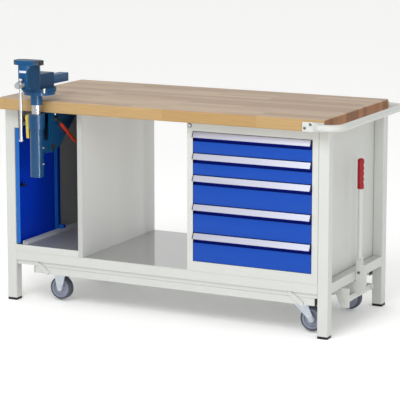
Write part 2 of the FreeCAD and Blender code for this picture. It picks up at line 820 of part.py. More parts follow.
frontPlate = prism("XZ_Plane", pushOutline, "pushThick", "0", frontPush, "0")
pushPlates = [cut(plate, rod("+Y", "yokeX", y + " - pushThick / 2", "yokeZ", "yokePin + yokePinFit",
                             "pushThick"))
              for plate, y in ((frontPlate, frontPush), (ring, rearPush))]
node("caster_cross_bars", group(*crossBars, *pushPlates))

# Hand lever: bell-crank plate with a broad foot, tube and cross yoke, turning on a pin in a bracket under
# the right side rail.
leverOutline = [("-leverBoss", "-leverBoss"), ("armReach", "-armDrop - yokePin"),
                ("armReach + leverPlateHalf", "-armDrop"),
                ("right + footWide - footSlant - leverX", "footLow - leverZ"),
                ("right + footWide - leverX", "footTop - leverZ"),
                ("right + footNeck - leverX", "footTop - leverZ"),
                ("right + footNeck - leverX", "leverPlateTop - leverZ"),
                ("right + railClear - leverX", "leverPlateTop - leverZ"),
                ("right + railClear - leverX", "leverPivotDrop - railClear"),
                ("-leverBoss", "leverPivotDrop - railClear")]
leverPlate = prism("XZ_Plane", leverOutline, "leverThick", "leverX", "middle", "leverZ")
leverTubeRod = rod("+Z", "tubeX", "middle", "leverPlateTop - tubeSeat", "leverTube",
                   "leverTop - gripStub - leverPlateTop + tubeSeat")
yokeStart = frontPush + " + pushThick / 2 + yokeClear"
yokeBar = block("yokeX - yokeThick / 2", yokeStart, "yokeZ - yokeHigh / 2", "yokeThick",
                "%s - pushThick / 2 - yokeClear - (%s)" % (rearPush, yokeStart), "yokeHigh")
yokePins = rod("+Y", "yokeX", frontPush + " - pushThick", "yokeZ", "yokePin",
               "yokeFront + yokeRear + 2 * pushThick")
leverHole = rod("+Y", "leverX", "middle - leverThick / 2", "leverZ", "leverPin + pinFit", "leverThick")
node("lever_arm", cut(fuse(leverPlate, leverTubeRod, yokeBar, yokePins), leverHole))
cheekNear = "(leverThick / 2 + bracketGap)"
leverCheeks = [block("leverX - bracketHalf", y, "leverZ - bracketHalf", "2 * bracketHalf", "bracketThick",
                     "leverPivotDrop + bracketHalf")
               for y in ("middle + " + cheekNear, "middle - %s - bracketThick" % cheekNear)]
leverPinRod = rod("+Y", "leverX", "middle - %s - bracketThick" % cheekNear, "leverZ", "leverPin",
                  "2 * (%s + bracketThick)" % cheekNear)
node("lever_bracket", fuse(*leverCheeks, leverPinRod))
grooves = 4
bandHigh = "gripLength / %d" % (2 * grooves + 1)
gripOutline = [("leverTube + pinFit", "0")]
for band in range(2 * grooves + 1):
    reach = "leverGrip - gripGroove" if band % 2 else "leverGrip"
    gripOutline += [(reach, "%d * %s" % (band, bandHigh)), (reach, "%d * %s" % (band + 1, bandHigh))]
gripOutline += [("0", "gripLength"), ("0", "gripLength - gripStub + pinFit"),
                ("leverTube + pinFit", "gripLength - gripStub + pinFit")]
node("lever_grip", turned(gripOutline, "+Z", "tubeX", "middle", "gripLow"))


# Casters: fork legs run from the plate or crown down to the axle.
def forkLegs(topX, wheelX, wheelY, topZ):
    # two tapered cheeks, rounded at the axle, with the axle between them
    outline = [("%s - forkTop" % topX, topZ), ("%s + forkTop" % topX, topZ),
               ("%s + forkEnd" % wheelX, "axleHigh"),
               ("%s - forkEnd" % wheelX, "axleHigh")]
    parts = []
    for side in ("-", "+"):
        middleY = "%s %s (forkHalf + forkThick / 2)" % (wheelY, side)
        parts.append(prism("XZ_Plane", outline, "forkThick", "0", middleY, "0"))
        parts.append(rod("+Y", wheelX, "%s - forkThick / 2" % middleY, "axleHigh", "forkEnd", "forkThick"))
    parts.append(rod("+Y", wheelX, "%s - forkHalf - forkThick" % wheelY, "axleHigh", "axleRadius",
                     "2 * (forkHalf + forkThick)"))
    return parts


fixedForks = []
heads = []
headLow = "plateLow - headHigh"
crownLow = "%s - headGap - crownThick" % headLow
plateWide = "2 * (forkHalf + forkThick + forkEnd)"
for wheelY in ("frontWheel", "rearWheel"):
    plates = [block("%s - crossWide / 2" % x, "%s - (%s) / 2" % (wheelY, plateWide), "plateLow",
                    "crossWide", plateWide,
                    "casterPlate") for x in ("leftCaster", "rightCaster")]
    fixedForks.append(fuse(plates[0], *forkLegs("leftCaster", "leftCaster", wheelY, "plateLow")))
    pin = rod("-Z", "rightCaster", wheelY, headLow, "swivelPin", "headGap + crownThick")
    heads.append(fuse(plates[1], rod("-Z", "rightCaster", wheelY, "plateLow", "headRadius", "headHigh"),
                      pin))
node("caster_mounts", group(*fixedForks, *heads))
for label, wheelY in (("front_swivel_fork", "frontWheel"), ("rear_swivel_fork", "rearWheel")):
    crown = rod("+Z", "rightCaster", wheelY, crownLow, "crownRadius", "crownThick")
    pinHole = rod("+Z", "rightCaster", wheelY, crownLow, "swivelPin + pinFit", "crownThick")
    node(label,
         cut(fuse(crown, *forkLegs("rightCaster", "rightWheel", wheelY, crownLow + " + crownThick")),
             pinHole))
rimRadius = "wheelRadius - tyreThick"
tyreOutline = [(rimRadius, "-wheelWide / 2"), ("wheelRadius", "-wheelWide / 2"),
               ("wheelRadius", "wheelWide / 2"),
               (rimRadius, "wheelWide / 2")]
bore = "axleRadius + pinFit"
hubOutline = [(bore, "-hubWide / 2"), ("hubRadius", "-hubWide / 2"), ("hubRadius", "-webThick / 2"),
              (rimRadius + " - webThick / 2", "-webThick / 2"),
              (rimRadius + " - webThick / 2", "-wheelWide / 2"),
              (rimRadius, "-wheelWide / 2"), (rimRadius, "wheelWide / 2"),
              (rimRadius + " - webThick / 2", "wheelWide / 2"),
              (rimRadius + " - webThick / 2", "webThick / 2"), ("hubRadius", "webThick / 2"),
              ("hubRadius", "hubWide / 2"),
              (bore, "hubWide / 2")]
for label, wheelX, wheelY in (("front_left_wheel", "leftCaster", "frontWheel"),
                              ("rear_left_wheel", "leftCaster", "rearWheel"),
                              ("front_right_wheel", "rightWheel", "frontWheel"),
                              ("rear_right_wheel", "rightWheel", "rearWheel")):
    rings = [turned(outline, "+Y", wheelX, wheelY, "axleHigh") for outline in (tyreOutline, hubOutline)]
    node(label, group(*rings))

# Vice lift: bracket under the top, sleeve folding forward on a cross pin, and the column in the sleeve.
cheekHalf = "(earHalf + cheekGap)"
cheekOutline = [("bracketFront", "underTop - bracketPlate"), ("foldY - earRadius", "foldZ"),
                ("foldY - earRadius / 2", "foldZ - earRadius"),
                ("foldY + earRadius / 2", "foldZ - earRadius"),
                ("foldY + cheekReach", "foldZ"),
                ("front + bracketBack", "underTop - bracketPlate - cheekDeep"),
                ("front + bracketBack", "underTop - bracketPlate")]
cheeks = [prism("YZ_Plane", cheekOutline, "cheekThick",
                "columnX %s (%s + cheekThick / 2)" % (sign, cheekHalf), "0", "0")
          for sign in "-+"]
topPlate = block("columnX - bracketPlateHalf", "bracketFront", "underTop - bracketPlate",
                 "2 * bracketPlateHalf",
                 "front + bracketBack - bracketFront", "bracketPlate")
foldPinRod = rod("+X", "columnX - %s - cheekThick" % cheekHalf, "foldY", "foldZ", "foldPin",
                 "2 * (%s + cheekThick)" % cheekHalf)
node("vice_bracket", fuse(topPlate, *cheeks, foldPinRod))
earOutline = [("columnY", "foldZ - earRadius"), ("foldY", "foldZ - earRadius"),
              ("foldY + earRadius", "foldZ"),
              ("foldY", "foldZ + earRadius"), ("columnY", "foldZ + 2 * earRadius")]
ear = prism("YZ_Plane", earOutline, "2 * earHalf", "columnX", "0", "0")
sleeveParts = [rod("+Z", "columnX", "columnY", "sleeveLow", "sleeveRadius", "sleeveLength"),
               rod("+Z", "columnX", "columnY", "collarTop - collarHigh", "collarRadius", "collarHigh"), ear]
lug = rod("-X", "columnX - sleeveRadius", "columnY", "collarTop - clampDrop", "clampHub",
          "collarRadius - sleeveRadius")
sleeveParts.append(lug)
columnBore = rod("+Z", "columnX", "columnY", "sleeveLow", "columnRadius + columnFit", "sleeveLength")
foldBore = rod("+X", "columnX - earHalf", "foldY", "foldZ", "foldPin + pinFit", "2 * earHalf")
node("vice_sleeve", cut(fuse(*sleeveParts), columnBore, foldBore))
columnLow = "sleeveLow + columnTail"
node("vice_column", fuse(
    rod("+Z", "columnX", "columnY", columnLow, "columnRadius", "neckLow - (%s)" % columnLow),
    rod("+Z", "columnX", "columnY", "neckLow", "neckRadius", "neckHigh"),
    rod("+Z", "columnX", "swivelY", "headPlateLow", "headPlateRadius", "headPlateThick"),
    rod("+Z", "columnX", "swivelY", "headPlateLow", "swivelStud",
        "headPlateThick + baseGap + baseThick / 2")))
clampX = "columnX - collarRadius - seamGap"
clampZ = "collarTop - clampDrop"
clampTip = "clampRadius * clampTaper"
clampOutline = [("-clampRadius", "0"), ("clampRadius", "0"), (clampTip, "-clampLength"),
                ("-" + clampTip, "-clampLength")]
clampArm = prism("YZ_Plane", clampOutline, "clampThick", clampX + " - clampHubLength / 2", "columnY",
                 clampZ)
clampHubRod = rod("-X", clampX, "columnY", clampZ, "clampHub", "clampHubLength")
node("clamp_lever", fuse(clampHubRod, rounded(clampArm, "clampRound", alongX)))
lockX = "columnX + %s + cheekThick + lockGap" % cheekHalf
lockHubRod = rod("+X", lockX, "lockY", "lockZ", "lockHub", "lockHubThick")
lockHandle = doc.addObject("Part::Cylinder", "rod")
lockHandle.Placement = FreeCAD.Placement(FreeCAD.Vector(), FreeCAD.Rotation(FreeCAD.Vector(-1, 0, 0), 90))
bind(lockHandle, Radius="lockArmRadius", Height="lockArmLength")
lockHandle.setExpression("Placement.Rotation.Angle", bound("90 + lockTilt"))
put(lockHandle, lockX + " + lockHubThick / 2", "lockY", "lockZ")
node("lock_lever", fuse(lockHubRod, lockHandle))

# Vice: swivel base, fixed body with its slide box, moving jaw with its slide bar, spindle and tommy bar.
baseDisc = rod("+Z", "columnX", "swivelY", "baseLow", "baseRadius", "baseThick")
studHole = rod("+Z", "columnX", "swivelY", "baseLow", "swivelStud + pinFit", "baseThick / 2 + pinFit")
node("swivel_base", cut(baseDisc, studHole))
fixedOutline = [("jawGap", "0"), ("boxLength", "0"), ("boxLength", "boxHigh"),
                ("jawDeep + jawGap", "boxHigh"),
                ("jawWaist + jawGap", "jawHigh - jawHead"), ("jawGap", "jawHigh - jawHead")]
fixedCore = rounded(prism("YZ_Plane", fixedOutline, "boxWide", "columnX", "jawY", "baseTop"), "jawEdge",
                    alongX)
fixedCheekOutline = [("jawGap", "0"), ("jawDeep + jawGap", "0"), ("jawDeep + jawGap", "boxHigh"),
                     ("jawWaist + jawGap", "jawHigh - jawHead"), ("jawGap", "jawHigh - jawHead")]


def jawPlan(near, flank, far, wide, farWide, high, middleZ, radius):
    # a jaw seen from above, wide at its face and narrower away from it
    outline = [("-(%s) / 2" % wide, near), ("(%s) / 2" % wide, near), ("(%s) / 2" % wide, flank),
               ("(%s) / 2" % farWide, far), ("-(%s) / 2" % farWide, far), ("-(%s) / 2" % wide, flank)]
    return rounded(prism("XY_Plane", outline, high, "columnX", "jawY", middleZ), radius, upright)


fixedCheek = common(prism("YZ_Plane", fixedCheekOutline, "jawBody", "columnX", "jawY", "baseTop"),
                    jawPlan("jawGap", "jawFlank", "jawDeep + jawGap", "jawBody", "boxWide", "2 * jawHigh",
                            "baseTop",
                            "jawEdge"))
headMiddle = "jawTop - jawHead / 2"
fixedHead = jawPlan("jawGap", "jawFlank", "jawWaist + jawGap", "jawWide", "jawBody", "jawHead", headMiddle,
                    "headRound")
slideHole = block("columnX - slideWide / 2 - slideFit", "jawY", "slideLow - slideFit",
                  "slideWide + 2 * slideFit",
                  "boxLength", "slideHigh + 2 * slideFit")
node("vice_body", cut(fuse(fixedCore, fixedCheek, fixedHead), slideHole))
noseLow = "slideLow - baseTop - slideFloor / 2"
movingOutline = [("0", noseLow), ("0", "jawHigh - jawHead"), ("-jawWaist", "jawHigh - jawHead"),
                 ("-jawDeep", "boxHigh"), ("-noseDeep", "noseHigh"), ("-noseDeep", noseLow)]
movingCheek = common(prism("YZ_Plane", movingOutline, "jawBody", "columnX", "jawY", "baseTop"),
                     jawPlan("0", "-jawFlank", "-noseDeep", "jawBody", "noseWide", "2 * jawHigh", "baseTop",
                             "noseRound"))
movingHead = jawPlan("0", "-jawFlank", "-jawWaist", "jawWide", "jawBody", "jawHead", headMiddle,
                     "headRound")
boss = rod("-Y", "columnX", "jawY - noseDeep", "spindleZ", "bossRadius", "bossLength")
slideBar = block("columnX - slideWide / 2", "jawY - jawWaist", "slideLow", "slideWide",
                 "jawWaist + boxLength + slideTail", "slideHigh")
spindleBore = rod("+Y", "columnX", "bossFront", "spindleZ", "spindleRadius + spindleFit", "spindleShaft")
node("vice_jaw", cut(fuse(movingCheek, movingHead, boss, slideBar), spindleBore))
node("spindle", cut(fuse(
    rod("+Y", "columnX", "spindleFront + spindleNoseLength", "spindleZ", "spindleHead",
        "headLength - spindleNoseLength"),
    rod("+Y", "columnX", "spindleFront", "spindleZ", "spindleNose", "headLength"),
    rod("+Y", "columnX", "spindleFront", "spindleZ", "spindleRadius",
        "headLength + headSeat + spindleShaft - slideFit")),
    rod("+Z", "columnX", "tommyY", "spindleZ - spindleHead", "tommyRadius + tommyFit", "2 * spindleHead")))
tommyTop = "spindleZ + spindleHead + slideFit"
node("tommy_bar", fuse(
    rod("-Z", "columnX", "tommyY", tommyTop, "tommyRadius", "tommyLength"),
    *[rod("+Z", "columnX", "tommyY", z, "tommyKnob", "tommyKnobLength")
      for z in (tommyTop, "%s - tommyLength - tommyKnobLength" % tommyTop)]))

doc.recompute()
for item in doc.Objects:
    if "Invalid" in item.State or "Error" in item.State:
        raise RuntimeError("%s failed: %s" % (item.Label, item.State))
for item in nodes:
    if item.Shape.isNull() or not item.Shape.isValid():
        raise RuntimeError("%s has no valid shape" % item.Label)

os.makedirs("parts", exist_ok=True)
for item in nodes:
    item.Shape.exportStep("parts/%s.step" % item.Label)
print(len(nodes), "nodes")
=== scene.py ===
import bpy
import bmesh
import json
import math
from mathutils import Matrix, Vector


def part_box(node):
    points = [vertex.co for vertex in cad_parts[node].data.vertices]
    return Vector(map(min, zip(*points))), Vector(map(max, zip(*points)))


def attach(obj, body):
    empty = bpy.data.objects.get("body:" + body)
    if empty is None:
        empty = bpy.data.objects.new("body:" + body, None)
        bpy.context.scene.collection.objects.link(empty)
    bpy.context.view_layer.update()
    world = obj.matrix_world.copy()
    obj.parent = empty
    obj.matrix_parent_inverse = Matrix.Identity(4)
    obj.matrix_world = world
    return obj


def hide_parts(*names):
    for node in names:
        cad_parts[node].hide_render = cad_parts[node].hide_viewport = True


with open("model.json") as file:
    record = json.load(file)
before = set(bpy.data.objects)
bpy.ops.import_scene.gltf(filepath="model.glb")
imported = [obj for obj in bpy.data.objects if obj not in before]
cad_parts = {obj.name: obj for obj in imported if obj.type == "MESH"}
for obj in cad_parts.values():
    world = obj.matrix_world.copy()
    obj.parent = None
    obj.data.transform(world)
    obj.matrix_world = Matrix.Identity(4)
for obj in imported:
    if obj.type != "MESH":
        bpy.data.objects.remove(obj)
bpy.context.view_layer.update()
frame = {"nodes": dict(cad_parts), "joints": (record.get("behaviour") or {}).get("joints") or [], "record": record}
nodes = frame["nodes"]
print("frame loaded")


# camera: the photograph's angle, slightly from above with a long lens
cameraSet = {"place": (3.3595, -6.6018, 1.8882), "pitch": 8.931, "turn": 26.732, "lens": 160.8, "sensor": 36,
             "shift": -0.15}
cameraData = bpy.data.cameras.new("benchCamera")
cameraData.lens = cameraSet["lens"]
cameraData.sensor_width = cameraSet["sensor"]
cameraData.shift_y = cameraSet["shift"]
camera = bpy.data.objects.new("benchCamera", cameraData)
camera.location = cameraSet["place"]
camera.rotation_euler = (math.radians(90 - cameraSet["pitch"]), 0, math.radians(cameraSet["turn"]))
bpy.context.collection.objects.link(camera)
bpy.context.scene.camera = camera
bpy.context.scene.view_settings.view_transform = "Standard"  # colours come out as they are mixed
print("camera set")


# places that several pieces share, read from the solids
def cornersOf(node):
    low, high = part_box(node)
    return Vector(low), Vector(high)


def middleOf(node):
    low, high = cornersOf(node)
    return (low + high) / 2


def jointPlace(name):
    return Vector(next(joint["pos_m"] for joint in frame["joints"] if joint["name"] == name))


topLow, topHigh = cornersOf("worktop")
baseLow, baseHigh = cornersOf("swivel_base")
movingLow, movingHigh = cornersOf("vice_jaw")
sleeveLow = cornersOf("vice_sleeve")[0]
viceX = middleOf("vice_column").x
jawTop = movingHigh.z
jawFace = cornersOf("vice_body")[0].y


def linear(hexColour):
    # sRGB hex to the linear colour that shaders take
    parts = [int(hexColour[i:i + 2], 16) / 255 for i in (1, 3, 5)]
    return tuple(p / 12.92 if p <= 0.04045 else ((p + 0.055) / 1.055) ** 2.4 for p in parts) + (1,)


def shade(hexColour, share):
    # the same colour, lighter or darker
    return tuple(min(1, c * share) for c in linear(hexColour)[:3]) + (1,)


def perMetre(size):
    # a pattern's scale, from the real size of its spots or lines in millimetres
    return 1000 / size


def fill(made, sockets):
    # gives a node's sockets plain values or links
    for name, value in sockets.items():
        if isinstance(value, bpy.types.NodeSocket):
            made.id_data.links.new(value, made.inputs[name])
        else:
            made.inputs[name].default_value = value


def addNode(tree, kind, sockets=None, **settings):
    # adds one node with its settings, values and links
    made = tree.nodes.new(kind)
    for name, value in settings.items():
        setattr(made, name, value)
    fill(made, sockets or {})
    return made


satinMirror = 0.34  # below the shader's usual 0.5, because satin skins mirror less of the white room


def newMaterial(name, values=None):
    material = bpy.data.materials.new(name)
    material.use_nodes = True
    shader = material.node_tree.nodes["Principled BSDF"]
    fill(shader, {"Specular IOR Level": satinMirror})
    fill(shader, values or {})
    return material, material.node_tree, shader


lacquerSet = {"Coat IOR": 2.1, "Coat Roughness": 0.06}  # mirrors more than a real lacquer would


# In a colour Mix node input 0 is the factor, 6 and 7 are the colours and output 2 is the result;
# with plain numbers the inputs are 2 and 3 and the output is 0. Map Range takes its value at 0, the
# range that it reads at 1 and 2, and the range that it gives at 3 and 4.
def powderCoat(name, colour, roughness=0.42, facingLightShade=None, mirror=satinMirror, shadeTowardsFront=None, lacquer=0.0):
    # powder-coated steel sheet: baked satin paint with a faint orange peel and slightly uneven gloss;
    # a lacquered sheet shows the room behind it; some sheets get painted light and shade
    material, tree, shader = newMaterial(name, {"Specular IOR Level": mirror, "Coat Weight": lacquer,
                                                **lacquerSet})
    place = addNode(tree, "ShaderNodeTexCoord").outputs
    spot = place["Object"]
    cloud = addNode(tree, "ShaderNodeTexNoise",
                    {"Vector": spot, "Scale": perMetre(200), "Detail": 3.0}).outputs["Fac"]
    tint = addNode(tree, "ShaderNodeMix", {0: cloud, 6: shade(colour, 0.95), 7: shade(colour, 1.04)},
                   data_type="RGBA").outputs[2]
    if facingLightShade:
        # painted light and shade: faces that look one way are painted lighter or darker than the rest, for how
        # light falls on them
        axis, sign, faceLightShade = facingLightShade
        side = addNode(tree, "ShaderNodeSeparateXYZ", {0: place["Normal"]}).outputs[axis]
        side = addNode(tree, "ShaderNodeMath", {0: side, 1: sign}, operation="MULTIPLY").outputs[0]
        chosen = addNode(tree, "ShaderNodeMath", {0: side, 1: 0.5}, operation="GREATER_THAN").outputs[0]
        tint = addNode(tree, "ShaderNodeMix", {0: chosen, 6: tint, 7: linear(faceLightShade)},
                       data_type="RGBA").outputs[2]
    if shadeTowardsFront:
        # painted shade: darker towards the open front, to even out the light that falls in there
        nearY, farY, share = shadeTowardsFront
        deep = addNode(tree, "ShaderNodeSeparateXYZ", {0: spot}).outputs["Y"]
        paintedFrontShade = addNode(tree, "ShaderNodeMapRange",
                         {0: deep, 1: nearY, 2: farY, 3: share, 4: 1.0}).outputs[0]
        tint = addNode(tree, "ShaderNodeVectorMath", {0: tint, 1: paintedFrontShade}, operation="MULTIPLY").outputs[0]
    gloss = addNode(tree, "ShaderNodeMapRange",
                    {0: cloud, 3: roughness - 0.06, 4: roughness + 0.06}).outputs[0]
    # real peel is about 1 mm across; drawn at 2.2 mm so that it shows
    peel = addNode(tree, "ShaderNodeTexNoise",
                   {"Vector": spot, "Scale": perMetre(2.2), "Detail": 1.0}).outputs["Fac"]
    bump = addNode(tree, "ShaderNodeBump", {"Height": peel, "Strength": 0.07, "Distance": 0.0004}).outputs[0]
    fill(shader, {"Base Color": tint, "Roughness": gloss, "Normal": bump})
    return material


# worktop's wood: staves in metres; grain lines and growth rings in millimetres
beechSet = {"staveLong": 0.42, "staveWide": 0.045, "stagger": 0.37, "lineLong": 143, "lineWide": 3.03,
            "ringGap": 5.067, "top": ("#A28972", "#BAA48B"), "edge": ("#A98857", "#B3966A"),
            "end": ("#6E4326", "#A8764A")}


def oiledBeech(name):
    # glued beech staves, sanded and oiled: long grain on top and front, darker end grain on the ends
    material, tree, shader = newMaterial(name, {"IOR": 1.5})
    place = addNode(tree, "ShaderNodeTexCoord").outputs
    spot = place["Object"]
    axes = addNode(tree, "ShaderNodeSeparateXYZ", {0: place["Normal"]}).outputs
    endFace = addNode(tree, "ShaderNodeMath", {0: axes["X"]}, operation="ABSOLUTE").outputs[0]
    endFace = addNode(tree, "ShaderNodeMath", {0: endFace, 1: 0.8}, operation="GREATER_THAN").outputs[0]
    topFace = addNode(tree, "ShaderNodeMath", {0: axes["Z"], 1: 0.5}, operation="GREATER_THAN").outputs[0]
    # each stave has its own tone
    staves = addNode(tree, "ShaderNodeTexBrick",
                     {"Vector": spot, "Color1": (0, 0, 0, 1), "Color2": (1, 1, 1, 1),
                      "Mortar": (0.5, 0.5, 0.5, 1), "Scale": 1.0, "Mortar Size": 0.0,
                      "Brick Width": beechSet["staveLong"], "Row Height": beechSet["staveWide"]},
                     offset=beechSet["stagger"]).outputs["Color"]
    tone = addNode(tree, "ShaderNodeSeparateColor", {0: staves}).outputs[0]
    # grain lines run along X and are shifted from stave to stave
    shift = addNode(tree, "ShaderNodeVectorMath", {0: staves, 1: (3.1, 1.7, 2.3), 2: spot},
                    operation="MULTIPLY_ADD").outputs[0]
    lineScale = [perMetre(beechSet[size]) for size in ("lineLong", "lineWide", "lineWide")]
    along = addNode(tree, "ShaderNodeMapping", {"Vector": shift, "Scale": lineScale}).outputs[0]
    grain = addNode(tree, "ShaderNodeTexNoise", {"Vector": along, "Scale": 1.0, "Detail": 4.0,
                                                 "Roughness": 0.6, "Distortion": 0.4}).outputs["Fac"]
    topTone, edgeTone = [addNode(tree, "ShaderNodeMix", {0: tone, 6: linear(dark), 7: linear(light)},
                                 data_type="RGBA").outputs[2]
                         for dark, light in (beechSet["top"], beechSet["edge"])]
    longTone = addNode(tree, "ShaderNodeMix", {0: topFace, 6: edgeTone, 7: topTone},
                       data_type="RGBA").outputs[2]
    darker = addNode(tree, "ShaderNodeMapRange", {0: grain, 1: 0.3, 2: 0.7, 3: 0.84, 4: 1.06}).outputs[0]
    longGrain = addNode(tree, "ShaderNodeVectorMath", {0: longTone, 1: darker},
                        operation="MULTIPLY").outputs[0]
    # end grain: growth rings across each stave; the bands of a wave of scale 1 are pi / 10 apart
    ringScale = perMetre(beechSet["ringGap"]) * math.pi / 10
    rings = addNode(tree, "ShaderNodeTexWave",
                    {"Vector": shift, "Scale": ringScale, "Distortion": 9.0, "Detail": 3.0,
                     "Detail Scale": 0.4}, wave_type="RINGS", rings_direction="X").outputs["Fac"]
    endTone = addNode(tree, "ShaderNodeMix", {0: 0.35, 2: tone, 3: rings}).outputs[0]
    endDark, endLight = beechSet["end"]
    ends = addNode(tree, "ShaderNodeMix", {0: endTone, 6: linear(endDark), 7: linear(endLight)},
                   data_type="RGBA").outputs[2]
    tint = addNode(tree, "ShaderNodeMix", {0: endFace, 6: longGrain, 7: ends}, data_type="RGBA").outputs[2]
    gloss = addNode(tree, "ShaderNodeMapRange", {0: grain, 3: 0.38, 4: 0.56}).outputs[0]
    bump = addNode(tree, "ShaderNodeBump", {"Height": grain, "Strength": 0.12, "Distance": 0.0005}).outputs[0]
    fill(shader, {"Base Color": tint, "Roughness": gloss, "Normal": bump})
    return material


def brushedMetal(name, colour, roughness, streak, bumpHigh=0.05, capped=None):
    # bare, plated or anodised metal: fine lines left along one direction by the brush, the die or the lathe;
    # streak is their size in millimetres along X, Y and Z; a capped profile has black plastic on both ends
    material, tree, shader = newMaterial(name, {"Metallic": 1.0})
    spot = addNode(tree, "ShaderNodeTexCoord").outputs["Object"]
    lines = addNode(tree, "ShaderNodeMapping",
                    {"Vector": spot, "Scale": [perMetre(size) for size in streak]}).outputs[0]
    fine = addNode(tree, "ShaderNodeTexNoise", {"Vector": lines, "Scale": 1.0, "Detail": 3.0}).outputs["Fac"]
    tint = addNode(tree, "ShaderNodeMix", {0: fine, 6: shade(colour, 0.86), 7: shade(colour, 1.08)},
                   data_type="RGBA").outputs[2]
    if capped:
        middle, half = capped
        along = addNode(tree, "ShaderNodeSeparateXYZ", {0: spot}).outputs["X"]
        metal = addNode(tree, "ShaderNodeMath", {0: along, 1: middle, 2: half},
                        operation="COMPARE").outputs[0]
        tint = addNode(tree, "ShaderNodeMix", {0: metal, 6: linear("#0E0F12"), 7: tint},
                       data_type="RGBA").outputs[2]
        fill(shader, {"Metallic": metal})
    gloss = addNode(tree, "ShaderNodeMapRange",
                    {0: fine, 3: roughness - 0.07, 4: roughness + 0.09}).outputs[0]
    bump = addNode(tree, "ShaderNodeBump",
                   {"Height": fine, "Strength": bumpHigh, "Distance": 0.0003}).outputs[0]
    fill(shader, {"Base Color": tint, "Roughness": gloss, "Normal": bump})
    return material


def zincPlate(name, colour):
    # bright zinc on pressed steel: cool grey with a faint spangle about 6 mm across
    material, tree, shader = newMaterial(name, {"Metallic": 0.85})
    spot = addNode(tree, "ShaderNodeTexCoord").outputs["Object"]
    spangle = addNode(tree, "ShaderNodeTexVoronoi",
                      {"Vector": spot, "Scale": perMetre(6.06)}).outputs["Color"]
    tone = addNode(tree, "ShaderNodeSeparateColor", {0: spangle}).outputs[0]
    tint = addNode(tree, "ShaderNodeMix", {0: tone, 6: shade(colour, 0.9), 7: shade(colour, 1.08)},
                   data_type="RGBA").outputs[2]
    gloss = addNode(tree, "ShaderNodeMapRange", {0: tone, 3: 0.3, 4: 0.46}).outputs[0]
    fill(shader, {"Base Color": tint, "Roughness": gloss})
    return material


def mouldedPlastic(name, colour, roughness):
    # moulded plastic or rubber: even colour with a fine eroded grain from the mould, about 1 mm across
    material, tree, shader = newMaterial(name, {"IOR": 1.48})
    spot = addNode(tree, "ShaderNodeTexCoord").outputs["Object"]
    skin = addNode(tree, "ShaderNodeTexNoise",
                   {"Vector": spot, "Scale": perMetre(1.111), "Detail": 2.0}).outputs["Fac"]
    cloud = addNode(tree, "ShaderNodeTexNoise",
                    {"Vector": spot, "Scale": perMetre(33.33), "Detail": 2.0}).outputs["Fac"]
    tint = addNode(tree, "ShaderNodeMix", {0: cloud, 6: shade(colour, 0.88), 7: shade(colour, 1.1)},
                   data_type="RGBA").outputs[2]
    gloss = addNode(tree, "ShaderNodeMapRange",
                    {0: skin, 3: roughness - 0.06, 4: roughness + 0.08}).outputs[0]
    bump = addNode(tree, "ShaderNodeBump", {"Height": skin, "Strength": 0.25, "Distance": 0.0002}).outputs[0]
    fill(shader, {"Base Color": tint, "Roughness": gloss, "Normal": bump})
    return material


def dippedHandle(name, colour, hub, bare):
    # soft vinyl dipped over a steel lever: glossy red skin on the handle, bare grey metal near the hub
    material, tree, shader = newMaterial(name, {"IOR": 1.48})
    spot = addNode(tree, "ShaderNodeTexCoord").outputs["Object"]
    away = addNode(tree, "ShaderNodeVectorMath", {0: spot, 1: hub}, operation="DISTANCE").outputs["Value"]
    steel = addNode(tree, "ShaderNodeMath", {0: away, 1: bare}, operation="LESS_THAN").outputs[0]
    cloud = addNode(tree, "ShaderNodeTexNoise",
                    {"Vector": spot, "Scale": perMetre(25), "Detail": 2.0}).outputs["Fac"]
    tint = addNode(tree, "ShaderNodeMix", {0: cloud, 6: shade(colour, 0.85), 7: shade(colour, 1.1)},
                   data_type="RGBA").outputs[2]
    tint = addNode(tree, "ShaderNodeMix", {0: steel, 6: tint, 7: linear("#707880")},
                   data_type="RGBA").outputs[2]
    gloss = addNode(tree, "ShaderNodeMapRange", {0: cloud, 3: 0.3, 4: 0.42}).outputs[0]
    fill(shader, {"Base Color": tint, "Metallic": steel, "Roughness": gloss})
    return material


viceBlue = "#0A3F66"


def glossEnamel(name, steelBelow=None, tone=1.0):
    # gloss enamel on turned and welded steel: smooth, with one sharp highlight; bare below a given height
    material, tree, shader = newMaterial(name)
    spot = addNode(tree, "ShaderNodeTexCoord").outputs["Object"]
    cloud = addNode(tree, "ShaderNodeTexNoise",
                    {"Vector": spot, "Scale": perMetre(55.56), "Detail": 3.0}).outputs["Fac"]
    tint = addNode(tree, "ShaderNodeMix",
                   {0: cloud, 6: shade(viceBlue, 0.85 * tone), 7: shade(viceBlue, 1.12 * tone)},
                   data_type="RGBA").outputs[2]
    gloss = addNode(tree, "ShaderNodeMapRange", {0: cloud, 3: 0.11, 4: 0.17}).outputs[0]
    if steelBelow:
        high = addNode(tree, "ShaderNodeSeparateXYZ", {0: spot}).outputs["Z"]
        steel = addNode(tree, "ShaderNodeMath", {0: high, 1: steelBelow}, operation="LESS_THAN").outputs[0]
        # the lathe's lines run round the column, 0.67 mm apart
        lineScale = [perMetre(size) for size in (250, 250, 0.6667)]
        turning = addNode(tree, "ShaderNodeMapping", {"Vector": spot, "Scale": lineScale}).outputs[0]
        lines = addNode(tree, "ShaderNodeTexNoise", {"Vector": turning, "Scale": 1.0}).outputs["Fac"]
        bare = addNode(tree, "ShaderNodeMix", {0: lines, 6: linear("#999B9D"), 7: linear("#C7C8C9")},
                       data_type="RGBA").outputs[2]
        tint = addNode(tree, "ShaderNodeMix", {0: steel, 6: tint, 7: bare}, data_type="RGBA").outputs[2]
        fill(shader, {"Metallic": steel})
    waves = addNode(tree, "ShaderNodeTexNoise",
                    {"Vector": spot, "Scale": perMetre(8.333), "Detail": 1.0}).outputs["Fac"]
    bump = addNode(tree, "ShaderNodeBump", {"Height": waves, "Strength": 0.05, "Distance": 0.0006}).outputs[0]
    fill(shader, {"Base Color": tint, "Roughness": gloss, "Normal": bump})
    return material


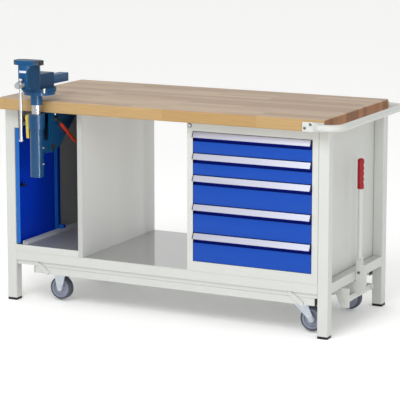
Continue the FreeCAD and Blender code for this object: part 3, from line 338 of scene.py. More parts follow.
# jaw plates next to the gripping line and at both ends, and the stripe on the front of the moving jaw,
# in metres from the jaws' top, the gripping line and the vice's middle; teeth in millimetres
plateSet = {"high": 0.0185, "near": 0.009, "inner": 0.046, "toothGap": 5.984, "stripeDown": 0.044,
            "stripeHalf": 0.0045, "stripeAhead": 0.042, "stripeWide": 0.0165}


def paintedIron(name, tone=1.0):
    # painted cast iron: blue enamel over a pebbly sand-cast skin, with hardened steel jaw plates
    material, tree, shader = newMaterial(name, {"Specular IOR Level": 0.2})
    spot = addNode(tree, "ShaderNodeTexCoord").outputs["Object"]
    skin = addNode(tree, "ShaderNodeTexNoise",
                   {"Vector": spot, "Scale": perMetre(3.333), "Detail": 3.0}).outputs["Fac"]
    cloud = addNode(tree, "ShaderNodeTexNoise",
                    {"Vector": spot, "Scale": perMetre(40), "Detail": 3.0}).outputs["Fac"]
    tint = addNode(tree, "ShaderNodeMix",
                   {0: cloud, 6: shade(viceBlue, 0.72 * tone), 7: shade(viceBlue, 1.2 * tone)},
                   data_type="RGBA").outputs[2]
    gloss = addNode(tree, "ShaderNodeMapRange", {0: cloud, 3: 0.3, 4: 0.42}).outputs[0]
    axes = addNode(tree, "ShaderNodeSeparateXYZ", {0: spot}).outputs
    high = addNode(tree, "ShaderNodeMath", {0: axes["Z"], 1: jawTop - plateSet["high"]},
                   operation="GREATER_THAN").outputs[0]
    near = addNode(tree, "ShaderNodeMath", {0: axes["Y"], 1: jawFace, 2: plateSet["near"]},
                   operation="COMPARE").outputs[0]
    inner = addNode(tree, "ShaderNodeMath", {0: axes["X"], 1: viceX, 2: plateSet["inner"]},
                    operation="COMPARE").outputs[0]
    outer = addNode(tree, "ShaderNodeMath", {0: 1.0, 1: inner}, operation="SUBTRACT").outputs[0]
    either = addNode(tree, "ShaderNodeMath", {0: near, 1: outer}, operation="MAXIMUM").outputs[0]
    plate = addNode(tree, "ShaderNodeMath", {0: high, 1: either}, operation="MULTIPLY").outputs[0]
    tint = addNode(tree, "ShaderNodeMix", {0: plate, 6: tint, 7: linear("#3E434A")},
                   data_type="RGBA").outputs[2]
    # a plain white stripe
    level = addNode(tree, "ShaderNodeMath",
                    {0: axes["Z"], 1: jawTop - plateSet["stripeDown"], 2: plateSet["stripeHalf"]},
                    operation="COMPARE").outputs[0]
    ahead = addNode(tree, "ShaderNodeMath", {0: axes["Y"], 1: jawFace - plateSet["stripeAhead"]},
                    operation="LESS_THAN").outputs[0]
    across = addNode(tree, "ShaderNodeMath", {0: axes["X"], 1: viceX, 2: plateSet["stripeWide"]},
                     operation="COMPARE").outputs[0]
    stripe = addNode(tree, "ShaderNodeMath", {0: level, 1: ahead}, operation="MULTIPLY").outputs[0]
    stripe = addNode(tree, "ShaderNodeMath", {0: stripe, 1: across}, operation="MULTIPLY").outputs[0]
    tint = addNode(tree, "ShaderNodeMix", {0: stripe, 6: tint, 7: linear("#C7CDDB")},
                   data_type="RGBA").outputs[2]
    gloss = addNode(tree, "ShaderNodeMix", {0: plate, 2: gloss, 3: 0.45}).outputs[0]
    # the gripping faces are serrated; along an axis, diagonal bands of scale 1 are pi / 5 apart
    teeth = addNode(tree, "ShaderNodeTexWave",
                    {"Vector": spot, "Scale": perMetre(plateSet["toothGap"]) * math.pi / 5},
                    bands_direction="DIAGONAL").outputs["Fac"]
    height = addNode(tree, "ShaderNodeMix", {0: plate, 2: skin, 3: teeth}).outputs[0]
    bump = addNode(tree, "ShaderNodeBump", {"Height": height, "Strength": 0.3, "Distance": 0.0006}).outputs[0]
    fill(shader, {"Base Color": tint, "Metallic": plate, "Roughness": gloss, "Normal": bump})
    return material


# where finishes change on a piece: grip rails' end caps, bare neck of the column, hub of the red lever;
# and how far back the divider's painted shade at the front goes, and how dark it is
changeSet = {"cap": 0.004, "neck": 0.0543, "hub": 0.034, "frontShadeDeep": 0.3, "frontShadeShare": 0.78}
neckLow = baseLow.z - changeSet["neck"]
dividerFront = cornersOf("divider_panel")[0].y
railLow, railHigh = cornersOf("drawer_1_grip")
railCaps = ((railLow.x + railHigh.x) / 2, (railHigh.x - railLow.x) / 2 - changeSet["cap"])
sheetGrey = "#C1C3BF"
finishes = {
    "frame_grey": powderCoat("powderCoatLightGrey", sheetGrey),
    "dark_grey": powderCoat("powderCoatGraphite", "#151618", 0.55, mirror=0.14),
    # painted light: the door's faces that look forward are painted a lighter blue than the rest
    "door_blue": powderCoat("powderCoatDeepBlue", "#0437C0", 0.35, ("Y", -1, "#195EAD"), 0.22),
    "drawer_blue": powderCoat("powderCoatBlue", "#0842A1", 0.36, mirror=0.22),
    "tray_grey": powderCoat("powderCoatTrayGrey", "#B1B4B0"),
    "vice_blue": paintedIron("paintedCastIron"),
    "beech": oiledBeech("oiledBeech"),
    "aluminium_grip": brushedMetal("anodisedAluminium", "#B2B4C2", 0.38, (111.1, 1.111, 1.111),
                                   capped=railCaps),
    "black_plastic": mouldedPlastic("blackPolyethylene", "#161719", 0.5),
    "red_plastic": mouldedPlastic("redSoftVinyl", "#93111A", 0.36),
    "zinc": zincPlate("zincPlatedSteel", "#C6CDD5"),
    "chrome_trim": brushedMetal("chromedBrass", "#C5C7C9", 0.14, (16.67, 16.67, 16.67), 0.01),
    "wheel_grey": mouldedPlastic("greyThermoplasticRubber", "#4A4D57", 0.55),
    "bright_steel": brushedMetal("turnedSteel", "#BBBDBF", 0.27, (200, 1.111, 200)),
    "yellow_lever": mouldedPlastic("yellowPolyamide", "#C7B44B", 0.42),
    "red_lever": dippedHandle("redDippedVinyl", "#C93E1C", jointPlace("lock_turn"), changeSet["hub"]),
}
glossBlue = glossEnamel("glossEnamelBlue")
rodSteel = brushedMetal("drawnSteelRod", "#C2C3C4", 0.24, (1.111, 1.111, 166.7))
# nodes that look different from the others of their slot
ownFinishes = {
    # painted shade: the bottom shelf's top is painted darker than its other faces
    "bottom_shelf": powderCoat("powderCoatShelfGrey", sheetGrey, 0.12, ("Z", 1, "#757876"), 1.0, lacquer=1.0),
    # painted shade: the vice bay floor's top is painted darker than its other faces
    "vice_cabinet_floor": powderCoat("powderCoatBayFloor", sheetGrey, 0.4, ("Z", 1, "#808187")),
    # painted light and shade: the divider's right face is painted lighter, and darker towards the open front
    "divider_panel": powderCoat("powderCoatPanelGrey", sheetGrey, 0.42, ("X", 1, "#E2E4E3"),
                                shadeTowardsFront=(dividerFront, dividerFront + changeSet["frontShadeDeep"], changeSet["frontShadeShare"])),
    "door_rails": powderCoat("powderCoatRailGrey", "#C8CBD4", 0.4),
    "vice_column": glossEnamel("enamelledColumn", neckLow, 1.35),
    # painted shade: the vice body takes a darker copy of the vice paint
    "vice_body": paintedIron("paintedCastIronShadedBody", 0.8),
    "vice_sleeve": glossBlue,
    "vice_bracket": glossBlue,
    "tommy_bar": rodSteel,
}
for part in frame["record"]["subparts"]:
    item = nodes[part["node"]]
    item.data.materials.clear()
    item.data.materials.append(ownFinishes.get(part["node"], finishes[part["material_slot"]]))
# painted light and shade: a lighter copy of the vice paint for the moving jaw, a darker one for its flanks
litJawIron = paintedIron("paintedCastIronLitJaw", 1.35)
shadedFlankIron = paintedIron("paintedCastIronShadedFlank", 0.62)
# painted shade: a dark blue for the inside of the drawer fronts' finger recess
recessShadeBlue = powderCoat("powderCoatRecessShade", "#041478", 0.55, mirror=0.06)
screwSteel = brushedMetal("oiledScrewSteel", "#74787F", 0.36, (5, 5, 5))
hubGrey = mouldedPlastic("greyPolypropylene", "#8A90A0", 0.45)
print("finishes set")


ways = {"+Z": (0, 0, 0), "-Z": (math.pi, 0, 0), "+Y": (-math.pi / 2, 0, 0), "-Y": (math.pi / 2, 0, 0),
        "+X": (0, math.pi / 2, 0), "-X": (0, -math.pi / 2, 0)}


def onlySelect(piece):
    bpy.ops.object.select_all(action="DESELECT")
    piece.select_set(True)
    bpy.context.view_layer.objects.active = piece


def settle(piece, place=(0, 0, 0), turn=(0, 0, 0)):
    # turns and moves a piece, then puts that into its mesh
    onlySelect(piece)
    piece.rotation_euler = turn
    piece.location = place
    bpy.ops.object.transform_apply(location=True, rotation=True, scale=True)


def pick(piece, kind, test):
    # selects the vertices, edges or faces that the test accepts, in edit mode
    bpy.ops.mesh.select_mode(type=kind)
    bpy.ops.mesh.select_all(action="DESELECT")
    mesh = bmesh.from_edit_mesh(piece.data)
    for item in {"VERT": mesh.verts, "EDGE": mesh.edges, "FACE": mesh.faces}[kind]:
        if test(item):
            item.select_set(True)
    mesh.select_flush_mode()
    bmesh.update_edit_mesh(piece.data)


def turnPiece(name, rings, sides=24):
    # a disc, extruded upwards and scaled ring by ring; rings are (height, radius) from the bottom
    bpy.ops.object.select_all(action="DESELECT")
    high, radius = rings[0]
    bpy.ops.mesh.primitive_circle_add(vertices=sides, radius=radius, fill_type="NGON", location=(0, 0, high))
    piece = bpy.context.object
    piece.name = name
    bpy.ops.object.transform_apply(location=True, rotation=True, scale=True)
    bpy.ops.object.mode_set(mode="EDIT")
    bpy.ops.mesh.select_all(action="SELECT")
    for nextHigh, nextRadius in rings[1:]:
        bpy.ops.mesh.extrude_region_move(TRANSFORM_OT_translate={"value": (0, 0, nextHigh - high)})
        share = nextRadius / radius
        bpy.ops.transform.resize(value=(share, share, 1), center_override=(0, 0, nextHigh))
        high, radius = nextHigh, nextRadius
    bpy.ops.mesh.select_all(action="SELECT")
    bpy.ops.mesh.normals_make_consistent(inside=False)
    bpy.ops.object.mode_set(mode="OBJECT")
    return piece


def softenEdges(piece, width):
    onlySelect(piece)
    bevel = piece.modifiers.new("softEdge", "BEVEL")
    bevel.width = width
    bevel.segments = 2
    bevel.limit_method = "ANGLE"
    bevel.angle_limit = math.radians(32)
    bpy.ops.object.modifier_apply(modifier="softEdge")


def smoothOut(piece, angle):
    onlySelect(piece)
    bpy.ops.object.shade_smooth_by_angle(angle=math.radians(angle))


def joinTo(piece, *others):
    onlySelect(piece)
    for other in others:
        other.select_set(True)
    bpy.ops.object.join()
    return piece


def makeBlock(name, low, high):
    # a cuboid between two corners, to be worked on
    bpy.ops.object.select_all(action="DESELECT")
    bpy.ops.mesh.primitive_cube_add(size=1, location=(low + high) / 2)
    block = bpy.context.object
    block.name = name
    block.scale = high - low
    bpy.ops.object.transform_apply(location=True, rotation=True, scale=True)
    return block


def combine(piece, other, operation):
    # joins, cuts or intersects a piece with another solid, which is used up, and closes the seam
    onlySelect(piece)
    change = piece.modifiers.new("combine", "BOOLEAN")
    change.operation = operation
    change.object = other
    bpy.ops.object.modifier_apply(modifier="combine")
    bpy.data.objects.remove(other)
    bpy.ops.object.mode_set(mode="EDIT")
    bpy.ops.mesh.select_all(action="SELECT")
    bpy.ops.mesh.remove_doubles(threshold=0.00003)
    bpy.ops.mesh.dissolve_degenerate(threshold=0.00002)
    bpy.ops.object.mode_set(mode="OBJECT")


def makeNut(name, sizes):
    # a hexagon on a washer, with the rounded end of its bolt
    washer = turnPiece(name, sizes["washer"])
    hexagon = turnPiece("hexagon", sizes["hexagon"], 6)
    boltEnd = turnPiece("boltEnd", sizes["boltEnd"], sizes["boltSides"])
    nut = joinTo(washer, hexagon, boltEnd)
    softenEdges(nut, sizes["edge"])
    smoothOut(nut, 35)
    return nut


def copyPiece(piece, name):
    onlySelect(piece)
    bpy.ops.object.duplicate(linked=False)
    made = bpy.context.object
    made.name = name
    return made


def paintFaces(piece, finish, other, test):
    # the other finish goes on the faces that the test accepts
    piece.data.materials.append(finish)
    piece.data.materials.append(other)
    for face in piece.data.polygons:
        face.material_index = 1 if test(face) else 0


def placePiece(piece, body, finish, place=(0, 0, 0), way="+Z"):
    # no finish is given for a piece whose faces are painted already
    settle(piece, place, ways[way])
    if finish:
        piece.data.materials.clear()
        piece.data.materials.append(finish)
    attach(piece, body)


# caster wheel: rubber tread on a dished plastic centre with a raised hub; each step of its side, from the
# tread inwards, is how far in and how far out (+) or into the wheel (-)
wheelSet = {"radius": 0.050, "wide": 0.032, "round": 0.0045, "sides": 56, "treadEdge": 0.0412,
            "side": [(0.0085, 0), (0.0006, -0.0025), (0.0015, 0), (0.0006, 0.0022), (0.0045, 0),
                     (0.0010, -0.0080), (0.0150, 0), (0.0030, 0.0093), (0.0040, 0), (0.0004, 0.0008),
                     (0.0040, 0), (0.0004, -0.0020)]}


def makeWheel():
    bpy.ops.object.select_all(action="DESELECT")
    bpy.ops.mesh.primitive_cylinder_add(vertices=wheelSet["sides"], radius=wheelSet["radius"],
                                        depth=wheelSet["wide"], rotation=(math.pi / 2, 0, 0))
    wheel = bpy.context.object
    bpy.ops.object.transform_apply(location=True, rotation=True, scale=True)
    bpy.ops.object.mode_set(mode="EDIT")
    pick(wheel, "FACE", lambda face: abs(face.normal.y) > 0.9)
    for thickness, depth in wheelSet["side"]:
        bpy.ops.mesh.inset(thickness=thickness, depth=depth, use_even_offset=True)
    rim = wheelSet["radius"] - 0.0004
    pick(wheel, "EDGE", lambda edge: all(math.hypot(v.co.x, v.co.z) > rim for v in edge.verts)
         and abs(edge.verts[0].co.y - edge.verts[1].co.y) < 0.0001)
    bpy.ops.mesh.bevel(offset=wheelSet["round"], segments=4, affect="EDGES")
    bpy.ops.object.mode_set(mode="OBJECT")
    paintFaces(wheel, finishes["wheel_grey"], hubGrey,
               lambda face: math.hypot(face.center.x, face.center.z) <= wheelSet["treadEdge"])
    smoothOut(wheel, 40)
    return wheel


wheelModel = makeWheel()
for end in ("front", "rear"):
    for side in ("left", "right"):
        node = "%s_%s_wheel" % (end, side)
        wheel = copyPiece(wheelModel, "%s%sCasterWheel" % (end, side.capitalize()))
        placePiece(wheel, "wheel_%s_%s" % (end, side), None, middleOf(node))
        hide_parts(node)
print("wheels made")


# axle nuts, on the outer faces of the forks; all rings are (height, radius)
nutSet = {"washer": [(0, 0.0105), (0.0012, 0.0105), (0.0015, 0.0099)],
          "hexagon": [(0.0014, 0.0085), (0.0055, 0.0085), (0.0061, 0.00765)],
          "boltEnd": [(0.004, 0.005), (0.0068, 0.005), (0.0078, 0.00375)], "boltSides": 16,
          "edge": 0.0003, "forkOut": 0.022}
nutModel = makeNut("axleNutModel", nutSet)
for end in ("front", "rear"):
    for side, body in (("left", "caster_frame"), ("right", end + "_fork")):
        hub = middleOf("%s_%s_wheel" % (end, side))
        for face, way, sign in (("Front", "-Y", -1), ("Rear", "+Y", 1)):
            nut = copyPiece(nutModel, "%s%sAxleNut%s" % (end, side.capitalize(), face))
            nutPlace = hub + Vector((0, sign * nutSet["forkOut"], 0))
            placePiece(nut, body, finishes["zinc"], nutPlace, way)


# lever grip: a soft vinyl sleeve with a domed end and four finger dips on its outer side; the dome's rings,
# the end of the straight stretch and that of the dips are measured down from its top
gripSet = {"radius": 0.0138, "sides": 28, "foot": [(0, 0.0118), (0.0008, 0.0132), (0.003, 0.0138)],
           "straightLow": 0.005, "straightHigh": 0.009, "steps": 36,
           "dome": [(0.005, 0.0128), (0.002, 0.0102), (0.0005, 0.006), (0, 0.003)],
           "dips": 4, "dipDeep": 0.0024, "dipLow": 0.016, "dipHigh": 0.018, "dipSide": 0.004}
gripLow, gripHigh = cornersOf("lever_grip")
gripMiddle = middleOf("lever_grip")
gripLong = gripHigh.z - gripLow.z
straightLong = gripLong - gripSet["straightLow"] - gripSet["straightHigh"]
straightSteps = [step / gripSet["steps"] for step in range(gripSet["steps"] + 1)]
gripRings = gripSet["foot"] + [(gripSet["straightLow"] + straightLong * share, gripSet["radius"])
                               for share in straightSteps]
gripRings += [(gripLong - down, radius) for down, radius in gripSet["dome"]]
gripPiece = turnPiece("leverGripSleeve", gripRings, gripSet["sides"])
onlySelect(gripPiece)
bpy.ops.object.mode_set(mode="EDIT")
dipPitch = (gripLong - gripSet["dipLow"] - gripSet["dipHigh"]) / gripSet["dips"]
for high, radius in gripRings:
    along = (high - gripSet["dipLow"]) / dipPitch
    if 0 < along < gripSet["dips"]:
        pick(gripPiece, "VERT",
             lambda vert: abs(vert.co.z - high) < 0.0002 and vert.co.x > gripSet["dipSide"])
        dip = gripSet["dipDeep"] * (0.5 - 0.5 * math.cos(2 * math.pi * along))
        bpy.ops.transform.translate(value=(-dip, 0, 0))
bpy.ops.object.mode_set(mode="OBJECT")
smoothOut(gripPiece, 60)
placePiece(gripPiece, "lever", finishes["red_plastic"],
           (gripMiddle.x, gripMiddle.y, gripLow.z))
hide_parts("lever_grip")
print("grip made")


# tommy bar: a drawn rod with a turned knob on each end; the knob's steps are shares of its length and radius
tommySet = {"rod": 0.0064, "knob": 0.0098, "knobLong": 0.012, "sides": 24,
            "knobSteps": [(0.0, 0.45), (0.08, 0.72), (0.22, 0.92), (0.42, 1.0), (0.62, 1.0), (0.82, 0.9),
                          (0.96, 0.74)]}
tommyLow, tommyHigh = cornersOf("tommy_bar")
tommyMiddle = middleOf("tommy_bar")
tommyLong = tommyHigh.z - tommyLow.z
halfRings = [(share * tommySet["knobLong"], wide * tommySet["knob"]) for share, wide in tommySet["knobSteps"]]
halfRings += [(tommySet["knobLong"], tommySet["rod"])]
tommyRings = halfRings + [(tommyLong - high, radius) for high, radius in reversed(halfRings)]
tommyPiece = turnPiece("tommyBarTurned", tommyRings, tommySet["sides"])
smoothOut(tommyPiece, 40)
placePiece(tommyPiece, "tommy", rodSteel, (tommyMiddle.x, tommyMiddle.y, tommyLow.z))
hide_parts("tommy_bar")


# cabinet lock: a steel rosette around a chromed core; the core's rings are measured down from its face,
# which is inset and narrowed by the slot's shares to make the key slot
lockSet = {"rosette": [(0, 0.009), (0.0018, 0.009), (0.0026, 0.0082), (0.0026, 0.0066)],
           "core": [(0.0006, 0.0063), (0, 0.0057)], "coreOut": 0.0066, "sides": 32,
           "slotInset": 0.0015, "slotWide": 0.22, "slotHigh": 0.9, "slotDeep": 0.0012}
lockLow, lockHigh = cornersOf("cabinet_lock")
lockMiddle = middleOf("cabinet_lock")
lockDeep = lockHigh.y - lockLow.y
lockRings = lockSet["rosette"] + [(lockDeep - down, radius) for down, radius in lockSet["core"]]
lockPiece = turnPiece("cabinetLockRosette", lockRings, lockSet["sides"])
onlySelect(lockPiece)
bpy.ops.object.mode_set(mode="EDIT")
pick(lockPiece, "FACE",
     lambda face: face.normal.z > 0.9 and face.calc_center_median().z > lockDeep - 0.0001)
bpy.ops.mesh.inset(thickness=lockSet["slotInset"], depth=0)
bpy.ops.transform.resize(value=(lockSet["slotWide"], lockSet["slotHigh"], 1),
                         center_override=(0, 0, lockDeep))
bpy.ops.mesh.extrude_region_move(TRANSFORM_OT_translate={"value": (0, 0, -lockSet["slotDeep"])})
bpy.ops.object.mode_set(mode="OBJECT")
paintFaces(lockPiece, finishes["chrome_trim"], screwSteel,
           lambda face: math.hypot(face.center.x, face.center.y) > lockSet["coreOut"])
smoothOut(lockPiece, 35)
placePiece(lockPiece, "base", None, (lockMiddle.x, lockHigh.y, lockMiddle.z), "-Y")
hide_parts("cabinet_lock")


# drawer fronts: folded panels with a finger recess under the grip and rounded edges
frontSet = {"recessTop": 0.0155, "recessLow": 0.040, "recessDeep": 0.0105, "edge": 0.0016, "drawers": 5}


def makeFront(name, low, high):
    # starts as the back slab, from which the parts above and below the recess are drawn forward
    slabLow = low + Vector((0, frontSet["recessDeep"], 0))
    front = makeBlock(name, slabLow, high)
    recessLow = high.z - frontSet["recessLow"]
    recessHigh = high.z - frontSet["recessTop"]
    bpy.ops.object.mode_set(mode="EDIT")
    for cutHigh in (recessLow, recessHigh):
        bpy.ops.mesh.select_all(action="SELECT")
        bpy.ops.mesh.bisect(plane_co=(0, 0, cutHigh), plane_no=(0, 0, 1))
    pick(front, "FACE", lambda face: face.normal.y < -0.9
         and not recessLow < face.calc_center_median().z < recessHigh)
    bpy.ops.mesh.extrude_region_move(TRANSFORM_OT_translate={"value": (0, -frontSet["recessDeep"], 0)})
    bpy.ops.object.mode_set(mode="OBJECT")
    softenEdges(front, frontSet["edge"])
    # painted shade: the inside of the finger recess gets the dark blue
    paintFaces(front, finishes["drawer_blue"], recessShadeBlue,
               lambda face: recessLow < face.center.z < recessHigh
               and low.y + frontSet["edge"] < face.center.y < slabLow.y + 0.0005)
    smoothOut(front, 40)
    return front


for count in range(1, frontSet["drawers"] + 1):
    node = "drawer_%d_front" % count
    front = makeFront("drawerFront%d" % count, *cornersOf(node))
    placePiece(front, "drawer_%d" % count, None)
    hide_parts(node)
print("drawer fronts made")


# push handle: the tube's ends are pressed flat, so each flares from the plate into the round tube
flareSet = {"tube": 0.014, "plateHigh": 0.019, "plateThick": 0.005, "start": 0.052, "end": 0.0125, "steps": 8,
            "sides": 32}
handleZ = middleOf("push_handle").z


def makeFlare(name):
    # modelled upright, with the plate's back face at X 0
    bpy.ops.object.select_all(action="DESELECT")
    bpy.ops.mesh.primitive_circle_add(vertices=flareSet["sides"], radius=1.0, fill_type="NGON")
    flare = bpy.context.object
    flare.name = name
    bpy.ops.object.mode_set(mode="EDIT")
    bpy.ops.mesh.select_all(action="SELECT")
    wide, thick = flareSet["plateHigh"], flareSet["plateThick"] / 2
    bpy.ops.transform.resize(value=(thick, wide, 1), center_override=(0, 0, 0))
    bpy.ops.transform.translate(value=(thick, 0, 0))
    lastWide, lastThick = wide, thick
    rise = (flareSet["start"] - flareSet["end"]) / flareSet["steps"]
    for step in range(1, flareSet["steps"] + 1):
        share = step / flareSet["steps"]
        ease = share * share * (3 - 2 * share)
        nextWide = wide + (flareSet["tube"] - wide) * ease
        nextThick = thick + (flareSet["tube"] - thick) * ease
        bpy.ops.mesh.extrude_region_move(TRANSFORM_OT_translate={"value": (0, 0, rise)})
        bpy.ops.transform.resize(value=(nextThick / lastThick, nextWide / lastWide, 1),
                                 center_override=(lastThick, 0, 0))
        bpy.ops.transform.translate(value=(nextThick - lastThick, 0, 0))
        lastWide, lastThick = nextWide, nextThick
    bpy.ops.mesh.select_all(action="SELECT")
    bpy.ops.mesh.normals_make_consistent(inside=False)
    bpy.ops.object.mode_set(mode="OBJECT")
    smoothOut(flare, 50)
    return flare


for end, turn, edgeY in (("Front", -90, topLow.y), ("Rear", 90, topHigh.y)):
    flare = makeFlare("handleFlare" + end)
    settle(flare, turn=(0, math.pi / 2, 0))  # the upright axis now runs along the bench
    settle(flare, turn=(math.radians(turn), 0, 0))  # the round side faces away from the worktop
    placePiece(flare, "base", finishes["frame_grey"],
               (topHigh.x - flareSet["start"], edgeY, handleZ))

# plate screws: round heads with a hexagon socket, two on each plate, placed from the worktop's end
screwSet = {"head": [(0, 0.0058), (0.0012, 0.0058), (0.0022, 0.0051), (0.0028, 0.0042), (0.003, 0.0034)],
            "socket": [(0.0012, 0.0027), (0.0034, 0.0027)], "places": ((0.080, -0.006), (0.056, 0.0095))}
screwModel = turnPiece("plateScrewModel", screwSet["head"], 20)
socket = turnPiece("socket", screwSet["socket"], 6)
combine(screwModel, socket, "DIFFERENCE")
smoothOut(screwModel, 30)
for end, way, plateY in (("Front", "-Y", topLow.y - flareSet["plateThick"]),
                         ("Rear", "+Y", topHigh.y + flareSet["plateThick"])):
    for count, (back, up) in enumerate(screwSet["places"], 1):
        screw = copyPiece(screwModel, "handlePlateScrew%s%d" % (end, count))
        placePiece(screw, "base", screwSteel, (topHigh.x - back, plateY, handleZ + up), way)
print("handle dressed")


# moving jaw: a barrel-shaped casting under the jaw head, with the spindle's boss and the slide bar
jawSet = {"gap": 0.0005, "half": 0.052, "nose": 0.019, "deep": 0.049, "low": 0.0035, "flank": 0.003,
          "round": 0.007, "barrel": (0.061, 0.0525, 0.078), "headHigh": 0.019, "headDeep": 0.034,
          "headFlank": 0.018, "headHalf": 0.041, "headRound": 0.004, "overlap": 0.002, "bossRadius": 0.024,
          "bossLong": 0.012, "bossEdge": 0.0015, "bore": 0.0113, "boreDeep": 0.075, "boreAhead": 0.01,
          "barHalf": 0.022, "barLow": 0.007, "barHigh": 0.036, "barAhead": 0.02, "edge": 0.0008}
gripLine = jawFace - jawSet["gap"]
headLow = jawTop - jawSet["headHigh"]
barLow = baseHigh.z + jawSet["barLow"]
spindlePlace = Vector((viceX, movingLow.y, barLow + jawSet["barHigh"] / 2))


def taperBlock(name, half, deep, low, high, flank, noseHalf, rounding):
    # a block in front of the gripping line, tapered in plan, with rounded upright edges on its far side
    block = makeBlock(name, Vector((viceX - half, gripLine - deep, low)),
                      Vector((viceX + half, gripLine, high)))
    bpy.ops.object.mode_set(mode="EDIT")
    for sign in (1, -1):
        bpy.ops.mesh.select_all(action="SELECT")
        bpy.ops.mesh.bisect(plane_co=(viceX + sign * noseHalf, gripLine - deep, low),
                            plane_no=(sign * (deep - flank), noseHalf - half, 0),
                            use_fill=True, clear_outer=True)
    pick(block, "EDGE", lambda edge: abs(edge.verts[0].co.z - edge.verts[1].co.z) > 0.01
         and edge.verts[0].co.y < gripLine - 0.001)
    bpy.ops.mesh.bevel(offset=rounding, segments=5, affect="EDGES")
    bpy.ops.object.mode_set(mode="OBJECT")
    return block


casting = taperBlock("movingJawCasting", jawSet["half"], jawSet["deep"], baseHigh.z + jawSet["low"],
                     headLow + jawSet["overlap"], jawSet["flank"], jawSet["nose"], jawSet["round"])
bpy.ops.object.select_all(action="DESELECT")
bpy.ops.mesh.primitive_uv_sphere_add(segments=64, ring_count=32, radius=1.0)
barrel = bpy.context.object
barrel.scale = jawSet["barrel"]
settle(barrel, (viceX, gripLine, (baseHigh.z + headLow) / 2))
combine(casting, barrel, "INTERSECT")
jawHead = taperBlock("jawHead", movingHigh.x - viceX, jawSet["headDeep"], headLow, jawTop,
                     jawSet["headFlank"], jawSet["headHalf"], jawSet["headRound"])
softenEdges(jawHead, jawSet["edge"])
combine(casting, jawHead, "UNION")
jawBoss = turnPiece("jawBoss", [(0, jawSet["bossRadius"]),
                                (jawSet["bossLong"] - jawSet["bossEdge"], jawSet["bossRadius"]),
                                (jawSet["bossLong"], jawSet["bossRadius"] - jawSet["bossEdge"])], 48)
settle(jawBoss, spindlePlace + Vector((0, jawSet["bossLong"], 0)), ways["-Y"])
combine(casting, jawBoss, "UNION")
slideBar = makeBlock("slideBar", Vector((viceX - jawSet["barHalf"], gripLine - jawSet["barAhead"], barLow)),
                     Vector((viceX + jawSet["barHalf"], movingHigh.y, barLow + jawSet["barHigh"])))
softenEdges(slideBar, jawSet["edge"])
combine(casting, slideBar, "UNION")
boreRod = turnPiece("boreRod", [(-jawSet["boreDeep"], jawSet["bore"]),
                                (jawSet["boreAhead"], jawSet["bore"])], 40)
settle(boreRod, spindlePlace, ways["-Y"])
combine(casting, boreRod, "DIFFERENCE")
# painted shade: the upright aslant flanks get the darker paint, the rest of the casting the lighter
paintFaces(casting, litJawIron, shadedFlankIron,
           lambda face: 0.7 < abs(face.normal.x) < 0.9 and abs(face.normal.z) < 0.02
           and face.center.z < headLow)  # the flanks stand upright and aslant
smoothOut(casting, 32)
placePiece(casting, "jaw", None)
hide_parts("vice_jaw")
print("jaw made")


# swivel clamp: a steel pin let into each side of the base disc, with a round socket in its top
pinSet = {"reach": 0.0728, "radius": 0.0066, "proud": 0.004, "footEdge": 0.0008, "topEdge": 0.001,
          "socket": 0.0031, "socketTaper": 0.0003, "socketDeep": 0.003, "angles": (-42, -138)}
pinHigh = baseHigh.z - baseLow.z + pinSet["proud"]
pinRings = [(0, pinSet["radius"] - pinSet["footEdge"]), (pinSet["footEdge"], pinSet["radius"]),
            (pinHigh - pinSet["topEdge"], pinSet["radius"]), (pinHigh, pinSet["radius"] - pinSet["topEdge"]),
            (pinHigh, pinSet["socket"]),
            (pinHigh - pinSet["socketDeep"], pinSet["socket"] - pinSet["socketTaper"])]
baseMiddle = (baseLow + baseHigh) / 2
pinModel = turnPiece("clampPinModel", pinRings)
smoothOut(pinModel, 35)
for side, angle in zip(("Right", "Left"), pinSet["angles"]):
    spot = Vector((baseMiddle.x + pinSet["reach"] * math.cos(math.radians(angle)),
                   baseMiddle.y + pinSet["reach"] * math.sin(math.radians(angle)), baseLow.z))
    pin = copyPiece(pinModel, "swivelClampPin" + side)
    placePiece(pin, "vice", finishes["chrome_trim"], spot)


# fold pin: a washer and a lock nut on each side of the bracket
foldSet = {"washer": [(0, 0.0125), (0.002, 0.0125), (0.0024, 0.0117)],
           "hexagon": [(0.002, 0.0115), (0.008, 0.0115), (0.009, 0.01012)],
           "boltEnd": [(0.006, 0.0065), (0.0105, 0.0065), (0.0115, 0.005)], "boltSides": 18,
           "edge": 0.0004, "cheekOut": 0.0344}
foldModel = makeNut("foldNutModel", foldSet)
foldPlace = jointPlace("vice_fold")
for side, way, sign in (("Right", "+X", 1), ("Left", "-X", -1)):
    nut = copyPiece(foldModel, "foldPinNut" + side)
    placePiece(nut, "base", finishes["black_plastic"],
               (viceX + sign * foldSet["cheekOut"], foldPlace.y, foldPlace.z), way)

# bracket bolts: three on each side, heads down under the bracket's top plate
boltSet = {"head": [(0, 0.0052), (0.0054, 0.0052), (0.006, 0.0045), (0.006, 0.0029), (0.0035, 0.0027)],
           "out": 0.0402, "backs": (0.034, 0.098, 0.170), "plate": 0.008}
bracketFront = cornersOf("vice_bracket")[0].y
capModel = turnPiece("capScrewModel", boltSet["head"], 20)
smoothOut(capModel, 35)
for side, sign in (("Right", 1), ("Left", -1)):
    for count, back in enumerate(boltSet["backs"], 1):
        cap = copyPiece(capModel, "bracketBolt%s%d" % (side, count))
        placePiece(cap, "base", finishes["chrome_trim"],
                   (viceX + sign * boltSet["out"], bracketFront + back, topLow.z - boltSet["plate"]), "-Z")

# sleeve guide screws: two in the right side of the sleeve
guideSet = {"out": 0.0288, "highs": (0.055, 0.124)}
for count, high in enumerate(guideSet["highs"], 1):
    guide = copyPiece(capModel, "sleeveGuideScrew%d" % count)
    placePiece(guide, "vice_arm", finishes["chrome_trim"],
               (viceX + guideSet["out"], middleOf("clamp_lever").y, sleeveLow.z + high), "+X")

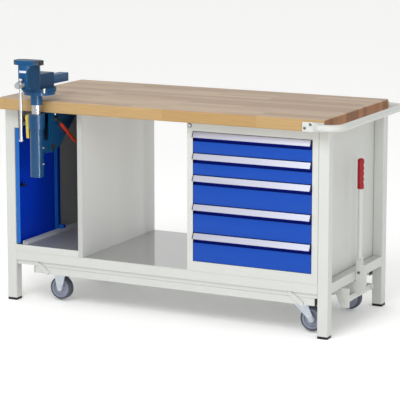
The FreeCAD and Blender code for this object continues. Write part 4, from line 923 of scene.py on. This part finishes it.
# lever foot: a cap screw on each face of the foot plate
footSet = {"out": 0.016, "high": 0.215, "half": 0.004}
for face, way, sign in (("Front", "-Y", -1), ("Rear", "+Y", 1)):
    footScrew = copyPiece(capModel, "leverFootScrew" + face)
    placePiece(footScrew, "lever", screwSteel,
               (topHigh.x + footSet["out"], gripMiddle.y + sign * footSet["half"], footSet["high"]), way)
for model in (wheelModel, nutModel, screwModel, pinModel, foldModel, capModel):
    bpy.data.objects.remove(model)
print("vice dressed")


# pale floor and soft light; the floor sheet is lit from below, as for catalogues
stageSet = {"wide": 80, "drop": 0.0005, "paper": "#FDFDFC", "glow": 0.12, "room": "#FFFFFF", "roomLight": 0.8}
bpy.ops.object.select_all(action="DESELECT")
bpy.ops.mesh.primitive_plane_add(size=stageSet["wide"], location=(0, 0, -stageSet["drop"]))
floor = bpy.context.object
floor.name = "studioFloor"
floorPaper = newMaterial("studioFloor", {"Base Color": linear(stageSet["paper"]), "Roughness": 0.9,
                                         "Emission Color": linear(stageSet["room"]),
                                         "Emission Strength": stageSet["glow"]})[0]
floor.data.materials.append(floorPaper)
world = bpy.data.worlds.new("studio")
world.use_nodes = True
fill(world.node_tree.nodes["Background"],
     {"Color": linear(stageSet["room"]), "Strength": stageSet["roomLight"]})
bpy.context.scene.world = world
# each lamp: place, point it is aimed at, power, width, height, spread;
# the slim one draws the line on the vice sleeve
lamps = {"key": ((0.3, -4.2, 4.4), (0, 0, 0.5), 140, 2.6, 2.6, 180),
         "strip": ((3.9, -4.4, 0.8), (0, 0, 0.8), 55, 0.2, 1.6, 180),
         "slim": ((1.66, -1.48, 0.27), (viceX, sleeveLow.y, 0.66), 0.2, 0.3, 0.5, 24)}
for name, (place, aim, power, wide, high, spread) in lamps.items():
    lampData = bpy.data.lights.new(name + "Lamp", "AREA")
    lampData.shape = "RECTANGLE"
    lampData.energy = power
    lampData.size = wide
    lampData.size_y = high
    lampData.spread = math.radians(spread)
    lamp = bpy.data.objects.new(name + "Lamp", lampData)
    lamp.location = place
    lamp.rotation_euler = (Vector(aim) - Vector(place)).to_track_quat("-Z", "Y").to_euler()
    lamp.visible_camera = False
    bpy.context.collection.objects.link(lamp)
print("light set")
